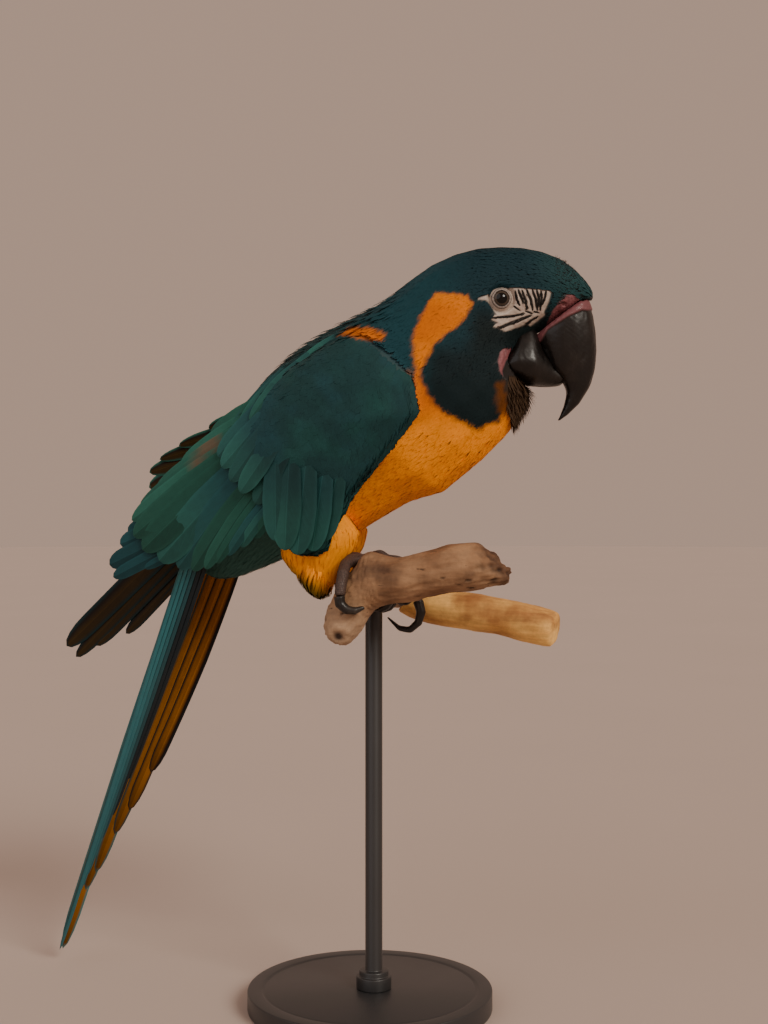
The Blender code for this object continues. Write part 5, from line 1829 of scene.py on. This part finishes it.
class MACAW_OT_stand(bpy.types.Operator):
    """Make the display stand: a turned base with raised rim and groove, and the rod with its collar"""
    bl_idname = "macaw.stand"
    bl_label = "Stand"
    bl_options = {"REGISTER", "UNDO"}

    def execute(self, context):
        paint = paint_finish(np.array(context.scene.macaw_stand.paint))
        centre, radius, thick = self.upright("stand_base")
        base = self.turned("base_disc", 144, radius, thick, (*centre, thick / 2))
        bpy.ops.mesh.inset(thickness=0.010)
        bpy.ops.mesh.inset(thickness=0.0018)
        bpy.ops.transform.translate(value=(0, 0, -0.0010))
        bpy.ops.mesh.inset(thickness=0.0018)
        bpy.ops.transform.translate(value=(0, 0, 0.0008))
        self.finish(base, 0.0016, 25, paint, "stand_base")

        centre, radius, top = self.upright("stand_rod")
        rod = self.turned("rod_with_collar", 64, radius * 2.1, 0.009, (*centre, thick + 0.0044))
        bpy.ops.mesh.inset(thickness=radius * 0.35)
        bpy.ops.mesh.extrude_region_move(TRANSFORM_OT_translate={"value": (0, 0, 0.004)})
        bpy.ops.mesh.inset(thickness=radius * 0.72)
        bpy.ops.mesh.extrude_region_move(TRANSFORM_OT_translate={"value": (0, 0, top - thick - 0.0129)})
        self.finish(rod, 0.0007, 40, paint, "stand_rod")
        return {"FINISHED"}

    @staticmethod
    def upright(node):
        """Centre in plan, radius and top of a round upright solid."""
        low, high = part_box(node)
        return ((high[0] + low[0]) / 2, (high[1] + low[1]) / 2), (high[0] - low[0]) / 2, high[2]

    @staticmethod
    def turned(name, sides, radius, depth, place):
        """A cylinder, left in edit mode with its top face picked."""
        piece = primitive(bpy.ops.mesh.primitive_cylinder_add, name,
                          vertices=sides, radius=radius, depth=depth, location=place)
        only(piece)
        bpy.ops.object.transform_apply(location=True, rotation=True, scale=True)
        bpy.ops.object.mode_set(mode="EDIT")
        bpy.ops.mesh.select_mode(type="FACE")
        bpy.ops.mesh.select_all(action="DESELECT")
        for face in bmesh.from_edit_mesh(piece.data).faces:
            face.select_set(face.normal.z > 0.9)
        bmesh.update_edit_mesh(piece.data)
        return piece

    @staticmethod
    def finish(piece, bevel, angle, paint, node):
        """Rounds the edges sharper than the angle, and paints the piece."""
        bpy.ops.object.mode_set(mode="OBJECT")
        apply_modifier(piece, "BEVEL", width=bevel, segments=3, limit_method="ANGLE",
                       angle_limit=math.radians(angle))
        smooth_shade(piece, 35)
        dress(piece, paint, "stand_paint", node)


# ---- stage ----
SKY_COLOUR, SKY_STRENGTH = (0.50, 0.345, 0.268, 1), 0.9
CAMERA_PLACE = (0.3952, -0.9512, 0.3562)
CAMERA_TURN = (math.radians(90), 0, math.radians(22))
SENSOR_WIDTH = 36


class MACAW_OT_stage(bpy.types.Operator):
    """Set the pale floor, the soft lights and the camera"""
    bl_idname = "macaw.stage"
    bl_label = "Stage"
    bl_options = {"REGISTER", "UNDO"}

    def execute(self, context):
        settings = context.scene.macaw_stage
        floor = primitive(bpy.ops.mesh.primitive_circle_add, "studio_floor", vertices=96, radius=14,
                          fill_type="TRIFAN", location=(0, 0, 0))
        floor.data.materials.append(floor_finish(np.array(settings.floor_colour)))

        world = bpy.data.worlds.new("studio")
        bpy.context.scene.world = world
        world.use_nodes = True
        sky = world.node_tree.nodes["Background"]
        sky.inputs["Color"].default_value = SKY_COLOUR
        sky.inputs["Strength"].default_value = SKY_STRENGTH

        # (name, place it shines from, angle of its disc, strength, colour)
        lights = (("key", (1.0, -0.55, 0.75), 24, settings.key_power, (1.0, 0.93, 0.82)),
                  ("fill", (-0.5, -1.4, 0.8), 60, settings.key_power * 0.30, (0.92, 0.96, 1.0)))
        for name, place, angle, power, colour in lights:
            light = bpy.data.lights.new(name, "SUN")
            light.energy, light.angle, light.color = power, math.radians(angle), colour
            lamp = bpy.data.objects.new(name, light)
            lamp.location = place
            lamp.rotation_euler = Vector(place).to_track_quat("Z", "Y").to_euler()
            bpy.context.collection.objects.link(lamp)

        view = bpy.data.cameras.new("camera")
        view.lens = settings.camera_focal
        view.sensor_width = SENSOR_WIDTH
        camera = bpy.data.objects.new("camera", view)
        camera.location = CAMERA_PLACE
        camera.rotation_euler = CAMERA_TURN
        bpy.context.collection.objects.link(camera)
        bpy.context.scene.camera = camera
        return {"FINISHED"}


OPERATORS = (MACAW_OT_skin, MACAW_OT_eyes, MACAW_OT_bill, MACAW_OT_claws, MACAW_OT_coat, MACAW_OT_face,
             MACAW_OT_wings, MACAW_OT_thin_skin, MACAW_OT_tail, MACAW_OT_perch, MACAW_OT_stand,
             MACAW_OT_stage)
SETTINGS = (("macaw_coat", MacawCoat), ("macaw_skin", MacawSkin), ("macaw_stand", MacawStand),
            ("macaw_stage", MacawStage))


class MACAW_PT_panel(bpy.types.Panel):
    """Lists the macaw's settings and the steps that make it"""
    bl_idname = "MACAW_PT_panel"
    bl_label = "Perched macaw"
    bl_space_type = "VIEW_3D"
    bl_region_type = "UI"
    bl_category = "Macaw"

    def draw(self, context):
        layout = self.layout
        for name, group in SETTINGS:
            box = layout.box()
            box.label(text=name.replace("macaw_", "").capitalize())
            for key in group.__annotations__:
                box.prop(getattr(context.scene, name), key)
        for operator in OPERATORS:
            layout.operator(operator.bl_idname)


def register():
    for name, group in SETTINGS:
        bpy.utils.register_class(group)
        setattr(bpy.types.Scene, name, PointerProperty(type=group))
    for operator in OPERATORS:
        bpy.utils.register_class(operator)
    bpy.utils.register_class(MACAW_PT_panel)


def unregister():
    bpy.utils.unregister_class(MACAW_PT_panel)
    for operator in reversed(OPERATORS):
        bpy.utils.unregister_class(operator)
    for name, group in reversed(SETTINGS):
        delattr(bpy.types.Scene, name)
        bpy.utils.unregister_class(group)


def main():
    register()
    for operator in OPERATORS:
        group, name = operator.bl_idname.split(".")
        getattr(getattr(bpy.ops, group), name)()


if __name__ == "__main__":
    main()
